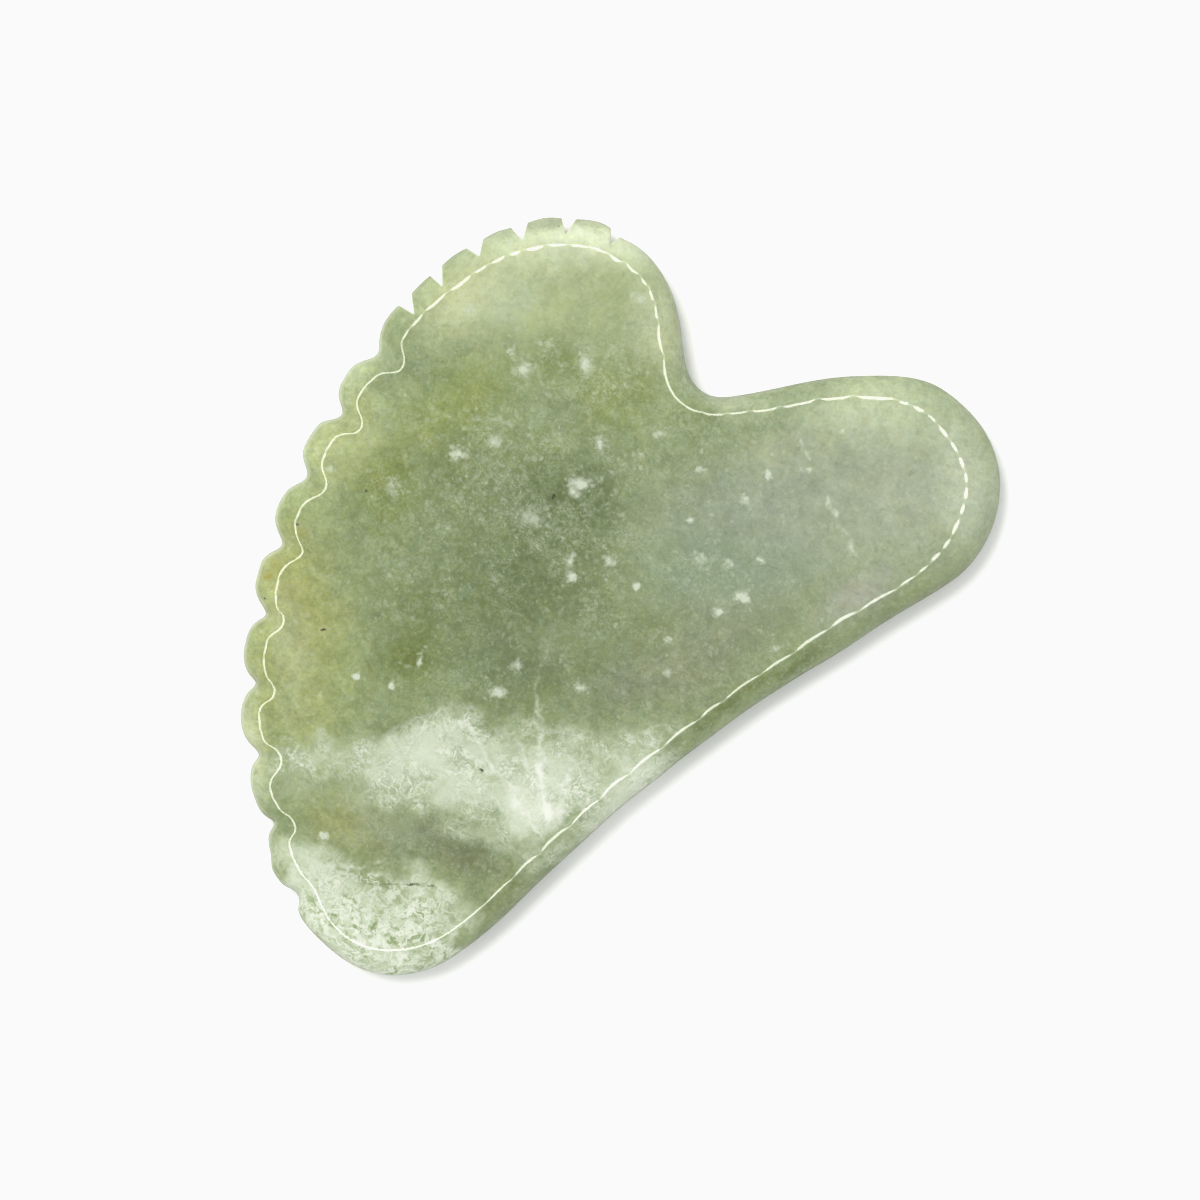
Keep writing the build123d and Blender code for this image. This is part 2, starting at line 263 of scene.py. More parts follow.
# ---------------------------------------------------------------------------
# Flank height: an elliptic arc, with the arris eased as a hand-polished edge
# ---------------------------------------------------------------------------
ELLIPSE_REACH = 1.0 / 0.70                  # half axis across the rim, in flank widths
FLANK_START = 1 - 1 / ELLIPSE_REACH         # where the arris lies on that axis, from 0 to 1
ELLIPSE_HEIGHT = HALF / math.sin(math.acos(FLANK_START))

# The comb's small scallops were polished more evenly than the long open runs.
OPEN_RUN = running_mean(smoothstep(np.minimum(RIM_RADIUS, 12.0), 2.0, 7.0), 421)
# The pale tip has one thin, unbroken line: 0 there, 1 away from it.
_tip = (np.array([-1.6, -35.8]) - np.array(CENTRE)) / PLAN_SCALE
OFF_TIP = smoothstep(np.linalg.norm(ARRIS - _tip, axis=1), 9.0, 15.0)


def ellipse_place(out, width):
    return 1 - (1 - np.clip(out / width, 0, 1)) / ELLIPSE_REACH


def circle_area(x):
    """Integral of sqrt(1 - x * x)."""
    x = np.clip(x, -1, 1)
    return 0.5 * (x * np.sqrt(np.maximum(1 - x * x, 0)) + np.arcsin(x))


def crisp_height(out, width):
    x = ellipse_place(out, width)
    return np.where(out <= 0, HALF, ELLIPSE_HEIGHT * np.sqrt(np.maximum(1 - x * x, 0)))


def height_area(out, width):
    """Integral of crisp_height from the arris outward."""
    part = circle_area(ellipse_place(out, width)) - circle_area(FLANK_START)
    return np.where(out <= 0, HALF * out, ELLIPSE_HEIGHT * width * ELLIPSE_REACH * part)


def random_edges(rng, low, high, stretch=lambda along: 1.0):
    """Cuts round the rim at random distances from low to high, scaled to close."""
    edges = [0.0]
    while edges[-1] < PERIOD - high * 0.5:
        edges.append(edges[-1] + rng.uniform(low, high) * stretch(edges[-1]))
    return np.array(edges) * PERIOD / edges[-1]


def facets(rng, low, high, amount, soft):
    """A smooth staircase around the rim, one value per hand-polished facet."""
    edges = random_edges(rng, low, high)
    values = rng.uniform(-amount, amount, len(edges) - 1)

    def staircase(along):
        along = np.mod(along, PERIOD)
        k = segment(edges, along)
        before, after = np.roll(values, 1)[k], np.roll(values, -1)[k]
        rise = smoothstep(along, edges[k] - soft, edges[k] + soft)
        leave = smoothstep(along, edges[k + 1] - soft, edges[k + 1] + soft)
        return before + (values[k] - before) * rise + (after - values[k]) * leave

    return staircase


def lenses(rng, low, high):
    """Lens-shaped swellings end to end around the rim, short on the round ends and longer on the
    straight runs: height from 0 at their tips up to 1, and the distance to the nearest tip."""
    def stretch(along):
        return 1 + 0.8 * smoothstep(look_up(along, np.minimum(RIM_RADIUS, 60.0)), 14.0, 32.0)

    edges = random_edges(rng, low, high, stretch)
    tall = rng.uniform(0.45, 1.0, len(edges) - 1)

    def lens(along):
        along = np.mod(along, PERIOD)
        k = segment(edges, along)
        part = (along - edges[k]) / (edges[k + 1] - edges[k])
        to_tip = np.minimum(along - edges[k], edges[k + 1] - along)
        return tall[k] * np.sin(np.pi * np.clip(part, 0, 1)) ** 0.9, to_tip

    return lens


class Face:
    """One broad side of the plate: its flank height above mid thickness."""

    def __init__(self, seed, second_line):
        rng = np.random.default_rng(seed)
        self.shift = facets(rng, 2.2, 4.6, amount=0.010, soft=0.9)
        self.tilt = facets(rng, 1.0, 2.6, amount=0.010, soft=0.5)
        self.lens = lenses(rng, 1.5, 2.6)
        self.second_line = second_line      # (from, to) along the rim, or None

    def gap(self, along):
        """1 where two polished facets meet, most of all on the rounded open runs."""
        run = look_up(along, OPEN_RUN)
        straight = smoothstep(look_up(along, np.minimum(RIM_RADIUS, 40.0)), 11.0, 24.0)
        share = 0.78 * run + 0.22 * (run * (1 - straight))
        meeting = 1 - smoothstep(self.lens(along)[1], 0.24, 0.52)
        return np.clip(meeting * share * look_up(along, OFF_TIP), 0, 1)

    def ease(self, along, width):
        """Half width of the eased arris."""
        slope = ELLIPSE_HEIGHT * FLANK_START
        slope = slope / (ELLIPSE_REACH * math.sqrt(1 - FLANK_START ** 2)) / width
        run = look_up(along, OPEN_RUN)
        factor = 0.78 * (1 - run) + run * (0.38 + 1.30 * self.lens(along)[0])
        factor = 0.60 + (factor - 0.60) * look_up(along, OFF_TIP)
        return np.minimum(1.55 * np.arctan(slope) * factor, 0.38 * width)

    def height(self, along, out, width):
        ease = self.ease(along, width)
        run = look_up(along, OPEN_RUN)
        near = np.exp(-((out / 0.8) ** 2))
        moved = out + self.shift(along) * near * (0.25 + 0.75 * run)
        # running mean of the crisp height over the eased width, fading to crisp further out
        upper = height_area(np.minimum(moved + ease, width), width)
        eased = (upper - height_area(moved - ease, width)) / (2 * ease)
        to_crisp = smoothstep(out, 1.1 * ease, 0.85 * width)
        mixed = eased + (crisp_height(moved, width) - eased) * to_crisp
        tilt = self.tilt(along) * np.maximum(out, 0) * np.exp(-(out ** 2))
        mixed = mixed - tilt * (0.3 + 0.7 * run)
        if self.second_line:
            # a low step 0.8 mm out from the arris, 0.04 mm high
            start, end = self.second_line
            mask = smoothstep(along, start, start + 1.5) * (1 - smoothstep(along, end - 1.5, end))
            step = 0.5 * (1 + np.tanh(1.2 * ((out - 0.80) / 0.16)))
            mixed = mixed + mask * 0.040 * step * (1 - np.clip(out / width, 0, 1))
        return np.minimum(np.where(out >= width - 1e-9, 0.0, mixed), HALF)


# ---------------------------------------------------------------------------
# Columns round the rim: spaced by how tightly it bends, and following each slot's walls
# ---------------------------------------------------------------------------
def slot_path(first_corner, root, last_corner):
    """Plan path along the outline, into the slot and out again: its points, their distances,
    the root's distance, and where the path starts and ends along the rim."""
    root = np.array(root)

    def on_outline(corner):
        direction = np.array(corner) - root
        direction = direction / np.linalg.norm(direction)
        offset = OUTLINE - root
        ahead = offset @ direction
        aside = np.abs(offset[:, 0] * direction[1] - offset[:, 1] * direction[0])
        aside[(ahead < 0.3) | (ahead > 4)] = 9
        return DENSE_AT[np.argmin(aside)]

    first, last = on_outline(first_corner), on_outline(last_corner)
    if last < first:
        last += PERIOD
    speed = np.linalg.norm(curve(np.array([first, last]), 1)[:, :2], axis=1)
    lead_in = np.linspace(first - SLOT_MARGIN / speed[0], first, 40)
    lead_out = np.linspace(last, last + SLOT_MARGIN / speed[1], 40)
    path = np.vstack([curve(lead_in)[:, :2], root[None], curve(lead_out)[:, :2]])
    distance = travelled(path)
    fine = np.linspace(0, distance[-1], int(distance[-1] / 0.01) + 1)
    points = resample(fine, distance, path)
    # round the corners with a Gaussian, mirroring the path beyond its ends
    sigma = SLOT_SMOOTH / (fine[1] - fine[0])
    half = int(3 * sigma)
    kernel = np.exp(-0.5 * (np.arange(-half, half + 1) / sigma) ** 2)
    kernel /= kernel.sum()
    before = 2 * points[0] - points[half:0:-1]
    after = 2 * points[-1] - points[-2:-half - 2:-1]
    padded = np.vstack([before, points, after])
    soft = np.stack([np.convolve(column, kernel, "valid") for column in padded.T], -1)
    return soft, fine, distance[len(lead_in)], lead_in[0], lead_out[-1]


def even_places():
    """Places along the rim, 0.13 to 0.27 mm apart."""
    spacing = np.clip(0.13 * RIM_RADIUS, 0.13, 0.27)
    speed = np.maximum(*(np.linalg.norm(np.gradient(line, DENSE_AT, axis=0), axis=1)
                         for line in (OUTLINE, ARRIS)))
    load = running_mean(speed / spacing, 61)
    count = np.r_[0, np.cumsum(load * (DENSE_AT[1] - DENSE_AT[0]))]
    wanted = np.linspace(0, count[-1], int(count[-1]), endpoint=False)
    return np.interp(wanted, count, np.r_[DENSE_AT, PERIOD])


def rim_columns():
    """Each column's place at the arris, place and reach at its outer end, and slot number
    (-1 for none); then the plan points of each slot's walls."""
    columns, windows, walls = [], [], []
    for number, slot in enumerate(SLOTS):
        soft, fine, root_at, start, end = slot_path(*slot)
        at = np.linspace(0, fine[-1], int(fine[-1] / SLOT_STEP) + 1)
        points = resample(at, fine, soft)
        along, reach = to_rim(points)
        along = np.where(along < start - PERIOD / 2, along + PERIOD, along)
        reach = np.minimum(reach, 1.0)
        root_along = np.interp(root_at, at, along)
        at_arris = np.interp(at, [0, root_at, fine[-1]], [start, root_along, end])
        along[0], along[-1] = start, end
        walls.append(points[reach < 0.985])
        windows.append((start - 0.04, end + 0.04))
        reach = np.where(reach < 0.999, reach, 1.0)
        columns += [(*column, number) for column in zip(at_arris, along, reach)]
    for place in even_places():
        turns = (place, place - PERIOD, place + PERIOD)
        if not any(start < x < end for start, end in windows for x in turns):
            columns.append((place, place, 1.0, -1))
    columns.sort(key=lambda column: column[0] % PERIOD)
    return *(np.array(values) for values in zip(*columns)), walls


AT_ARRIS, AT_END, END_REACH, SLOT_NUMBER, WALLS = rim_columns()
COLUMNS = len(AT_ARRIS)
ARRIS_WIDTH = rim_width(AT_ARRIS)

# ---------------------------------------------------------------------------
# Rings down each column, and the mesh
# ---------------------------------------------------------------------------
RINGS = 24              # from the flat's border to mid thickness
# samples per column on the flat border, on the flank and on the upright wall
BORDER_STEPS, FLANK_STEPS, WALL_STEPS = 30, 110, 40


def flat_border(ease):
    """Where the flat's border lies, as a distance outward of the arris (negative is inward)."""
    return -1.15 * ease - 0.10


def profile(face):
    """x, y, height above mid, reach and cut factor on each ring of each column."""
    ease = face.ease(AT_ARRIS, ARRIS_WIDTH)
    border_parts = 1 - np.linspace(0, 1, BORDER_STEPS, endpoint=False)
    border_out = flat_border(ease)[:, None] * border_parts[None, :]
    part = np.linspace(0, 1, FLANK_STEPS)
    flank_along = AT_ARRIS[:, None] + (AT_END - AT_ARRIS)[:, None] * part[None, :]
    along = np.concatenate([np.repeat(AT_ARRIS[:, None], BORDER_STEPS, 1), flank_along], 1)
    flank_reach = END_REACH[:, None] * part[None, :]
    reach = np.concatenate([border_out / ARRIS_WIDTH[:, None], flank_reach], 1)
    width = rim_width(along)
    plan_xy = plan(along, reach)
    height = face.height(along, reach * width, width)
    cut = np.zeros_like(height)
    for number, wall in enumerate(WALLS):
        near = np.where(SLOT_NUMBER == number)[0]
        gaps = ((plan_xy[near][:, :, None, :] - wall[None, None]) ** 2).sum(-1)
        gaps = np.sqrt(gaps.min(-1))
        slot_ease = np.minimum(SLOT_EASE, 0.6 * np.maximum(height[near], 0.0))
        close = np.clip(1 - gaps / np.maximum(slot_ease, 1e-6), 0, 1)
        height[near] -= slot_ease * (1 - np.sqrt(np.maximum(1 - close * close, 0)))
        cut[near] = np.clip(1 - gaps / 0.12, 0, 1)
    # the upright wall below the flank, down to mid thickness
    drop = np.linspace(0, 1, WALL_STEPS + 1)[1:]
    height = np.concatenate([height, height[:, -1][:, None] * (1 - drop)[None, :]], 1)
    plan_xy = np.concatenate([plan_xy, np.repeat(plan_xy[:, -1:, :], WALL_STEPS, 1)], 1)
    reach = np.concatenate([reach, np.repeat(reach[:, -1:], WALL_STEPS, 1)], 1)
    in_slot = np.where(SLOT_NUMBER >= 0, 1.0, 0.0) * smoothstep(1 - END_REACH, 0.01, 0.06)
    wall_cut = np.repeat(in_slot[:, None], WALL_STEPS, 1)
    cut = np.concatenate([cut * in_slot[:, None], wall_cut], 1)
    samples = np.concatenate([plan_xy, np.stack([height, reach, cut], -1)], 2)
    rings = np.zeros((COLUMNS, RINGS, 5))
    for c in range(COLUMNS):
        # rings gather where the eased arris bends
        step = np.linalg.norm(np.diff(samples[c, :, :3], axis=0), axis=1) + 1e-7
        distance = np.r_[0, np.cumsum(step)]
        off_bend = (distance[:-1] - 1.25 * ease[c]) / (1.0 * ease[c] + 0.1)
        load = np.r_[0, np.cumsum(step * (1 + 2.2 * np.exp(-off_bend ** 2)))]
        wanted = np.interp(np.linspace(0, load[-1], RINGS), load, distance)
        rings[c] = resample(wanted, distance, samples[c])
    rings[:, 0, 2] = HALF
    rings[:, -1, 2] = 0.0
    return rings


def flat_mesh(border):
    """Graded triangles across a broad flat, bounded by the first ring: points, triangles and
    the point number of each border point."""
    closed = np.vstack([border, border[:1]])
    distance = travelled(closed)
    total = distance[-1]

    def inside(points):
        x, y = points[:, 0][:, None], points[:, 1][:, None]
        x0, y0 = border.T[:, None]
        x1, y1 = np.roll(border, -1, 0).T[:, None]
        rise = np.where(y1 == y0, 1e-12, y1 - y0)
        crossed = ((y0 > y) != (y1 > y)) & (x < (x1 - x0) * (y - y0) / rise + x0)
        return crossed.sum(1) % 2 == 1

    def keep_clear(points, gap):
        gaps = ((points[:, None] - border[None, ::2]) ** 2).sum(-1).min(1)
        return points[(gaps > gap * gap) & inside(points)]

    # rows that follow the border: distance in from it, spacing along it
    inner = []
    for gap, spacing in ((0.30, 0.36), (0.72, 0.62), (1.40, 0.95)):
        at = np.linspace(0, total, int(total / spacing), endpoint=False)
        points = resample(at, distance, closed)
        tangent = resample((at + 0.05) % total, distance, closed) - points
        tangent /= np.linalg.norm(tangent, axis=1)[:, None]
        inward = np.c_[tangent[:, 1], -tangent[:, 0]]
        inner.append(keep_clear(points + inward * gap, gap * 0.86))
    # then a triangular grid
    pitch = 1.15
    grid_x, grid_y = np.meshgrid(np.arange(-40, 40, pitch), np.arange(-44, 44, pitch * 0.866))
    grid_x = grid_x + (np.arange(grid_x.shape[0]) % 2)[:, None] * pitch / 2
    inner.append(keep_clear(np.c_[grid_x.ravel(), grid_y.ravel()], 1.95))
    coords = [Vector((float(x), float(y))) for x, y in np.vstack([border, *inner])]
    loop = [list(range(len(border)))]
    points, _, faces, origins, _, _ = delaunay_2d_cdt(coords, [], loop, 1, 1e-6)
    back = {old: new for new, olds in enumerate(origins) for old in olds}
    points = np.array([[point.x, point.y] for point in points])
    return points, [list(face) for face in faces], [back[k] for k in range(len(border))]


def add_object(name, data):
    obj = bpy.data.objects.new(name, data)
    bpy.context.scene.collection.objects.link(obj)
    return obj


def build_plate():
    line_ends = to_rim(np.array([[-24.4, -23.0], [-12.0, -36.0]]))[0]
    sides = {1: Face(11, (min(line_ends), max(line_ends))), -1: Face(29, None)}
    rows = []           # x, y, z, reach and cut of each vertex
    faces, dull_parts = [], []
    rim_index = None    # vertices at mid thickness, shared by both sides
    for sign, face in sides.items():
        rings = profile(face)
        flat_points, flat_faces, back = flat_mesh(rings[:, 0, :2])
        start = len(rows)
        rows += [(x, y, sign * HALF, 0.0, 0.0) for x, y in flat_points]
        for flat_face in flat_faces:
            x, y = flat_points[flat_face].T
            turn = (np.roll(x, 1) * y - np.roll(y, 1) * x).sum()
            if (turn > 0) != (sign > 0):
                flat_face = flat_face[::-1]
            faces.append([start + k for k in flat_face])
        index = np.zeros((COLUMNS, RINGS), int)
        index[:, 0] = [start + k for k in back]
        for k in range(1, RINGS):
            if k == RINGS - 1 and rim_index is not None:
                index[:, k] = rim_index
                continue
            index[:, k] = len(rows) + np.arange(COLUMNS)
            rows += [(x, y, sign * z, max(reach, 0.0), cut) for x, y, z, reach, cut in rings[:, k]]
        rim_index = index[:, -1]
        out = rings[:, :, 3] * ARRIS_WIDTH[:, None]
        border = flat_border(face.ease(AT_ARRIS, ARRIS_WIDTH))[:, None]
        dull = face.gap(AT_ARRIS)[:, None] * smoothstep(out, border, 0.4 * border)
        dull_parts.append((index[:, 1:], (dull * (1 - smoothstep(out, 0.35, 0.70)))[:, 1:]))
        after = np.roll(index, -1, 0)
        quads = np.stack([index[:, :-1], after[:, :-1], after[:, 1:], index[:, 1:]], -1)
        quads = quads.reshape(-1, 4)
        faces += (quads if sign > 0 else quads[:, ::-1]).tolist()

    table = np.array(rows)
    points = table[:, :3]
    points[:, :2] = points[:, :2] * PLAN_SCALE + np.array(CENTRE)
    points[:, 2] += BOTTOM + HALF
    mesh = bpy.data.meshes.new("jade_plate")
    mesh.from_pydata((points * MM).tolist(), [], faces)
    mesh.validate()
    mesh.update()

    outline = OUTLINE[::12] * PLAN_SCALE + np.array(CENTRE)
    edge = np.zeros(len(points))
    for k in range(0, len(points), 2000):
        offsets = points[k:k + 2000, None, :2] - outline[None]
        edge[k:k + 2000] = np.sqrt((offsets ** 2).sum(-1).min(1))
    dull = np.zeros(len(points))
    for index, values in dull_parts:
        dull[index] = values
    attributes = {"edge_mm": edge, "cut": table[:, 4], "reach": table[:, 3], "dull": dull}
    for name, values in attributes.items():
        attribute = mesh.attributes.new(name, "FLOAT", "POINT")
        attribute.data.foreach_set("value", np.asarray(values, np.float32))
    mesh.polygons.foreach_set("use_smooth", np.ones(len(mesh.polygons), bool))
    return add_object("jade_plate", mesh)


plate = build_plate()

# ---------------------------------------------------------------------------
# Node helpers
# ---------------------------------------------------------------------------
TREE = None             # the node tree that new nodes go into


def start_tree(owner):
    """Empty the owner's node tree and send new nodes to it."""
    global TREE
    owner.use_nodes = True
    TREE = owner.node_tree
    TREE.nodes.clear()


def add_node(kind, inputs=None, **settings):
    node = TREE.nodes.new(kind)
    for key, value in settings.items():
        setattr(node, key, value)
    for key, value in (inputs or {}).items():
        socket = node.inputs[key]
        if isinstance(value, Value):
            TREE.links.new(value.socket, socket)
            continue
        if hasattr(value, "__len__") and len(value) < len(socket.default_value):
            value = (*value, 1.0)
        socket.default_value = value
    return node


def finish_tree(shader, kind="ShaderNodeOutputMaterial"):
    TREE.links.new(shader.outputs[0], add_node(kind).inputs[0])


class Value:
    """An output socket; arithmetic on it adds math nodes."""

    def __init__(self, socket):
        self.socket = socket

    def __add__(self, other):
        return math_node("ADD", self, other)

    def __sub__(self, other):
        return math_node("SUBTRACT", self, other)

    def __rsub__(self, other):
        return math_node("SUBTRACT", other, self)

    def __mul__(self, other):
        return math_node("MULTIPLY", self, other)


class Point(Value):
    """A vector socket; arithmetic on it adds vector math nodes."""

    def __add__(self, other):
        return Point(vector_math("ADD", {0: self, 1: other}).outputs["Vector"])

    def __sub__(self, other):
        return Point(vector_math("SUBTRACT", {0: self, 1: other}).outputs["Vector"])

    def __mul__(self, factor):
        return Point(vector_math("SCALE", {0: self, "Scale": factor}).outputs["Vector"])

    def flat(self):
        scaled = vector_math("MULTIPLY", {0: self, 1: (1.0, 1.0, 0.0)})
        return Point(scaled.outputs["Vector"])

    def dot(self, axis):
        return Value(vector_math("DOT_PRODUCT", {0: self, 1: axis}).outputs["Value"])


def vector_math(operation, inputs):
    return add_node("ShaderNodeVectorMath", inputs, operation=operation)


def math_node(operation, *inputs, clamp=False):
    node = add_node("ShaderNodeMath", dict(enumerate(inputs)), operation=operation, use_clamp=clamp)
    return Value(node.outputs[0])


def larger(first, second):
    return math_node("MAXIMUM", first, second)


def coordinate(name):
    return Point(add_node("ShaderNodeTexCoord").outputs[name])


def light_path(name):
    return Value(add_node("ShaderNodeLightPath").outputs[name])


def attribute(name):
    node = add_node("ShaderNodeAttribute", attribute_type="GEOMETRY", attribute_name=name)
    return Value(node.outputs["Fac"])


def noise_node(point, scale, detail, rough, distortion=0.0):
    inputs = {"Vector": point, "Scale": scale, "Detail": detail, "Roughness": rough,
              "Lacunarity": 2.0, "Distortion": distortion}
    return add_node("ShaderNodeTexNoise", inputs, noise_dimensions="3D")


def noise(point, **settings):
    return Value(noise_node(point, **settings).outputs[0])


def swing(point, **settings):
    """Noise spread to about -1..1."""
    return (noise(point, **settings) - 0.5) * 4.0


def ridge(point, width, **settings):
    """Thin curling filaments, 1 on the filament."""
    distance = math_node("ABSOLUTE", noise(point, **settings) - 0.5)
    return fade(distance, (0.0, width), to=(1.0, 0.0))


def wobble(point, reach, **settings):
    """A wandering offset, up to about half of reach each way."""
    color = Point(noise_node(point, **settings).outputs["Color"])
    return (color - (0.5, 0.5, 0.5)) * reach


def voronoi(point, scale, feature, output):
    inputs = {"Vector": point, "Scale": scale, "Randomness": 1.0}
    node = add_node("ShaderNodeTexVoronoi", inputs, voronoi_dimensions="3D", feature=feature)
    return Point(node.outputs[output])


def fade(value, over, to=(0.0, 1.0), kind="SMOOTHSTEP"):
    """Carry the range "over" smoothly to the range "to", clamped."""
    inputs = {"Value": value, "From Min": over[0], "From Max": over[1],
              "To Min": to[0], "To Max": to[1]}
    node = add_node("ShaderNodeMapRange", inputs, interpolation_type=kind, clamp=True)
    return Value(node.outputs[0])


def ramp(value, over, to):
    return fade(value, over, to, kind="LINEAR")


def mix(amount, under, over, blend="MIX"):
    node = add_node("ShaderNodeMix", data_type="RGBA", blend_type=blend, clamp_factor=True,
                    inputs={0: amount, 6: under, 7: over})
    return Value(node.outputs[2])


def tint(color, factor):
    return mix(1.0, color, factor, blend="MULTIPLY")


def lerp(amount, low, high):
    inputs = {0: amount, 2: low, 3: high}
    node = add_node("ShaderNodeMix", inputs, data_type="FLOAT", clamp_factor=True)
    return Value(node.outputs[0])


def blob(point, at, radii, angle=0.0, soft=1.0):
    """1 inside an ellipse placed in plan millimetres, easing to 0 at its rim over the share
    "soft" of the radius."""
    node = add_node("ShaderNodeMapping", {
        "Vector": point,
        "Location": (at[0] * PLAN_SCALE + CENTRE[0], at[1] * PLAN_SCALE + CENTRE[1], 0.0),
        "Rotation": (0.0, 0.0, math.radians(angle)),
        "Scale": (radii[0] * PLAN_SCALE, radii[1] * PLAN_SCALE, 1.0),
    }, vector_type="TEXTURE")
    ball = add_node("ShaderNodeTexGradient", {0: Value(node.outputs[0])}, gradient_type="SPHERICAL")
    return fade(Value(ball.outputs["Fac"]), (0.0, soft))


def streak(point, start, end, stretch, half):
    """A thin blob from start to end; its half length is stretch times the distance."""
    run, rise = end[0] - start[0], end[1] - start[1]
    middle = ((start[0] + end[0]) / 2, (start[1] + end[1]) / 2)
    radii = (math.hypot(run, rise) * stretch, half)
    return blob(point, middle, radii, math.degrees(math.atan2(rise, run)))


# ---------------------------------------------------------------------------
# Jade: tables in plan millimetres, degrees and sRGB 0-255
# ---------------------------------------------------------------------------
VEIL = 0.030            # light the polish adds over the body colour
GAIN = 1.40             # brightness of the light on an upward face

# some rim zones carry painted light and painted shade besides the stone's colour, as noted on each
ZONES = [  # x, y, radius x, radius y, angle, colour, softness, amount
    (-5.6, 1.4, 17.1, 19.2, 30, (114, 126, 91), 1.0, 1.00),  # core
    (12.7, 5.0, 15.1, 9.1, 65, (141, 146, 121), 1.0, 0.85),  # lower middle
    (11.8, 19.6, 19.2, 13.1, 40, (152, 162, 144), 1.0, 0.95),  # right body
    (10.2, 12.3, 11.1, 7.1, 30, (143, 159, 134), 1.0, 0.70),  # cool patch
    (21.7, 28.8, 15.1, 14.1, 30, (169, 176, 155), 1.0, 0.95),  # long lobe
    (15.5, 34.3, 15.1, 6.3, 25, (210, 220, 191), 1.0, 0.60),  # long lobe top
    (27.3, 33.2, 5.0, 10.1, 30, (199, 206, 186), 1.0, 0.70),  # long lobe end
    (-24.4, -13.5, 9.6, 22.2, 38, (169, 174, 112), 1.0, 0.95),  # comb side strip
    (-28.9, 5.4, 8.1, 11.1, -5, (183, 191, 143), 1.0, 0.85),  # comb side upper
    (-16.7, 28.7, 19.2, 11.1, 35, (171, 180, 138), 1.0, 1.00),  # small lobe
    (-18.0, 35.0, 17.1, 5.2, 32, (232, 240, 209), 1.0, 0.85),  # small lobe top
    (-25.7, 24.1, 9.6, 4.8, 72, (206, 211, 172), 1.0, 0.80),  # small lobe shoulder
    (-6.5, 31.2, 3.8, 10.1, 30, (193, 199, 167), 1.0, 0.70),  # small lobe right edge
    (-21.0, 14.0, 9.6, 6.0, 65, (145, 155, 94), 1.0, 0.80),  # below the shoulder
    (-7.4, 23.7, 7.1, 5.5, 30, (139, 148, 89), 1.0, 0.70),  # under the small lobe
    (-22.9, 3.1, 5.5, 7.6, 15, (121, 130, 53), 1.0, 0.60),  # olive left
    (-8.7, 10.7, 7.6, 6.6, 30, (75, 93, 30), 1.0, 0.40),  # dark green spot
    (-12.4, -10.1, 6.0, 5.0, 30, (108, 118, 52), 1.0, 0.75),  # olive brown spot
    (-2.7, -5.6, 10.6, 5.0, 20, (114, 126, 97), 1.0, 0.70),  # above the cloud
    (8.2, -2.3, 9.1, 4.5, 50, (128, 132, 119), 1.0, 0.50),  # right of the vein
    (-9.5, -28.2, 7.6, 4.5, 0, (153, 158, 111), 1.0, 0.90),  # olive low left
    (1.1, -25.3, 14.1, 4.4, 12, (123, 129, 102), 1.0, 1.00),  # green band
    (8.3, -26.7, 8.6, 3.2, 75, (145, 153, 116), 0.9, 0.80),  # low right rim, partly painted shade: the rim turned away from the window
    (19.9, 4.5, 15.1, 1.6, 65, (120, 131, 89), 1.0, 0.85),  # long rim, partly painted shade: the rim turned away from the window darker
    (-22.0, -26.1, 3.0, 10.6, 34, (202, 207, 174), 0.9, 0.70),  # comb rim low, partly painted light: the rim facing the window paler
    (-30.0, -7.8, 2.6, 6.7, 22, (162, 168, 117), 1.0, 0.55),  # comb rim amber
    (-31.3, 0.5, 2.4, 7.1, 5, (177, 188, 149), 1.0, 0.60),  # comb rim middle, partly painted light: the rim facing the window paler
    (-31.4, 12.7, 3.0, 6.0, -10, (196, 206, 169), 1.0, 0.60),  # comb rim upper, partly painted light: the rim facing the window paler
    (28.1, 18.6, 10.1, 2.0, 62, (141, 150, 112), 1.0, 0.60),  # long rim upper, partly painted shade: the rim turned away from the window
    (-4.5, -27.3, 6.3, 2.6, 8, (136, 146, 116), 1.0, 0.75),  # dark part of the band
    (-24.0, -15.1, 3.6, 11.6, 38, (176, 184, 160), 1.0, 0.45),  # left edge
    (2.4, 28.4, 6.3, 2.2, 22, (183, 190, 168), 1.0, 0.60),  # notch rim, partly painted light: paler where the light falls
    (-20.7, 35.1, 12.6, 1.8, 32, (158, 165, 136), 1.0, 0.85),  # small lobe rim
    (-3.6, 13.0, 5.5, 9.1, 30, (76, 91, 49), 1.0, 0.50),  # centre
    (23.6, 17.3, 8.1, 3.4, 62, (180, 178, 173), 1.0, 0.60),  # long run
    (-17.8, 8.4, 5.5, 5.5, 30, (112, 120, 77), 1.0, 0.50),  # upper left
    (-14.7, 23.2, 5.0, 4.0, 30, (111, 126, 59), 1.0, 0.50),  # small lobe root
    (-14.7, -5.0, 6.0, 4.5, 30, (107, 117, 72), 1.0, 0.45),  # left middle
    (-21.4, 26.1, 5.0, 4.2, 30, (198, 209, 179), 1.0, 0.50),  # small lobe middle
    (-0.5, -1.4, 7.6, 4.0, 30, (153, 163, 133), 1.0, 0.45),  # low centre
    (10.3, 26.3, 7.6, 3.2, 30, (178, 181, 154), 1.0, 0.50),  # long lobe root
]
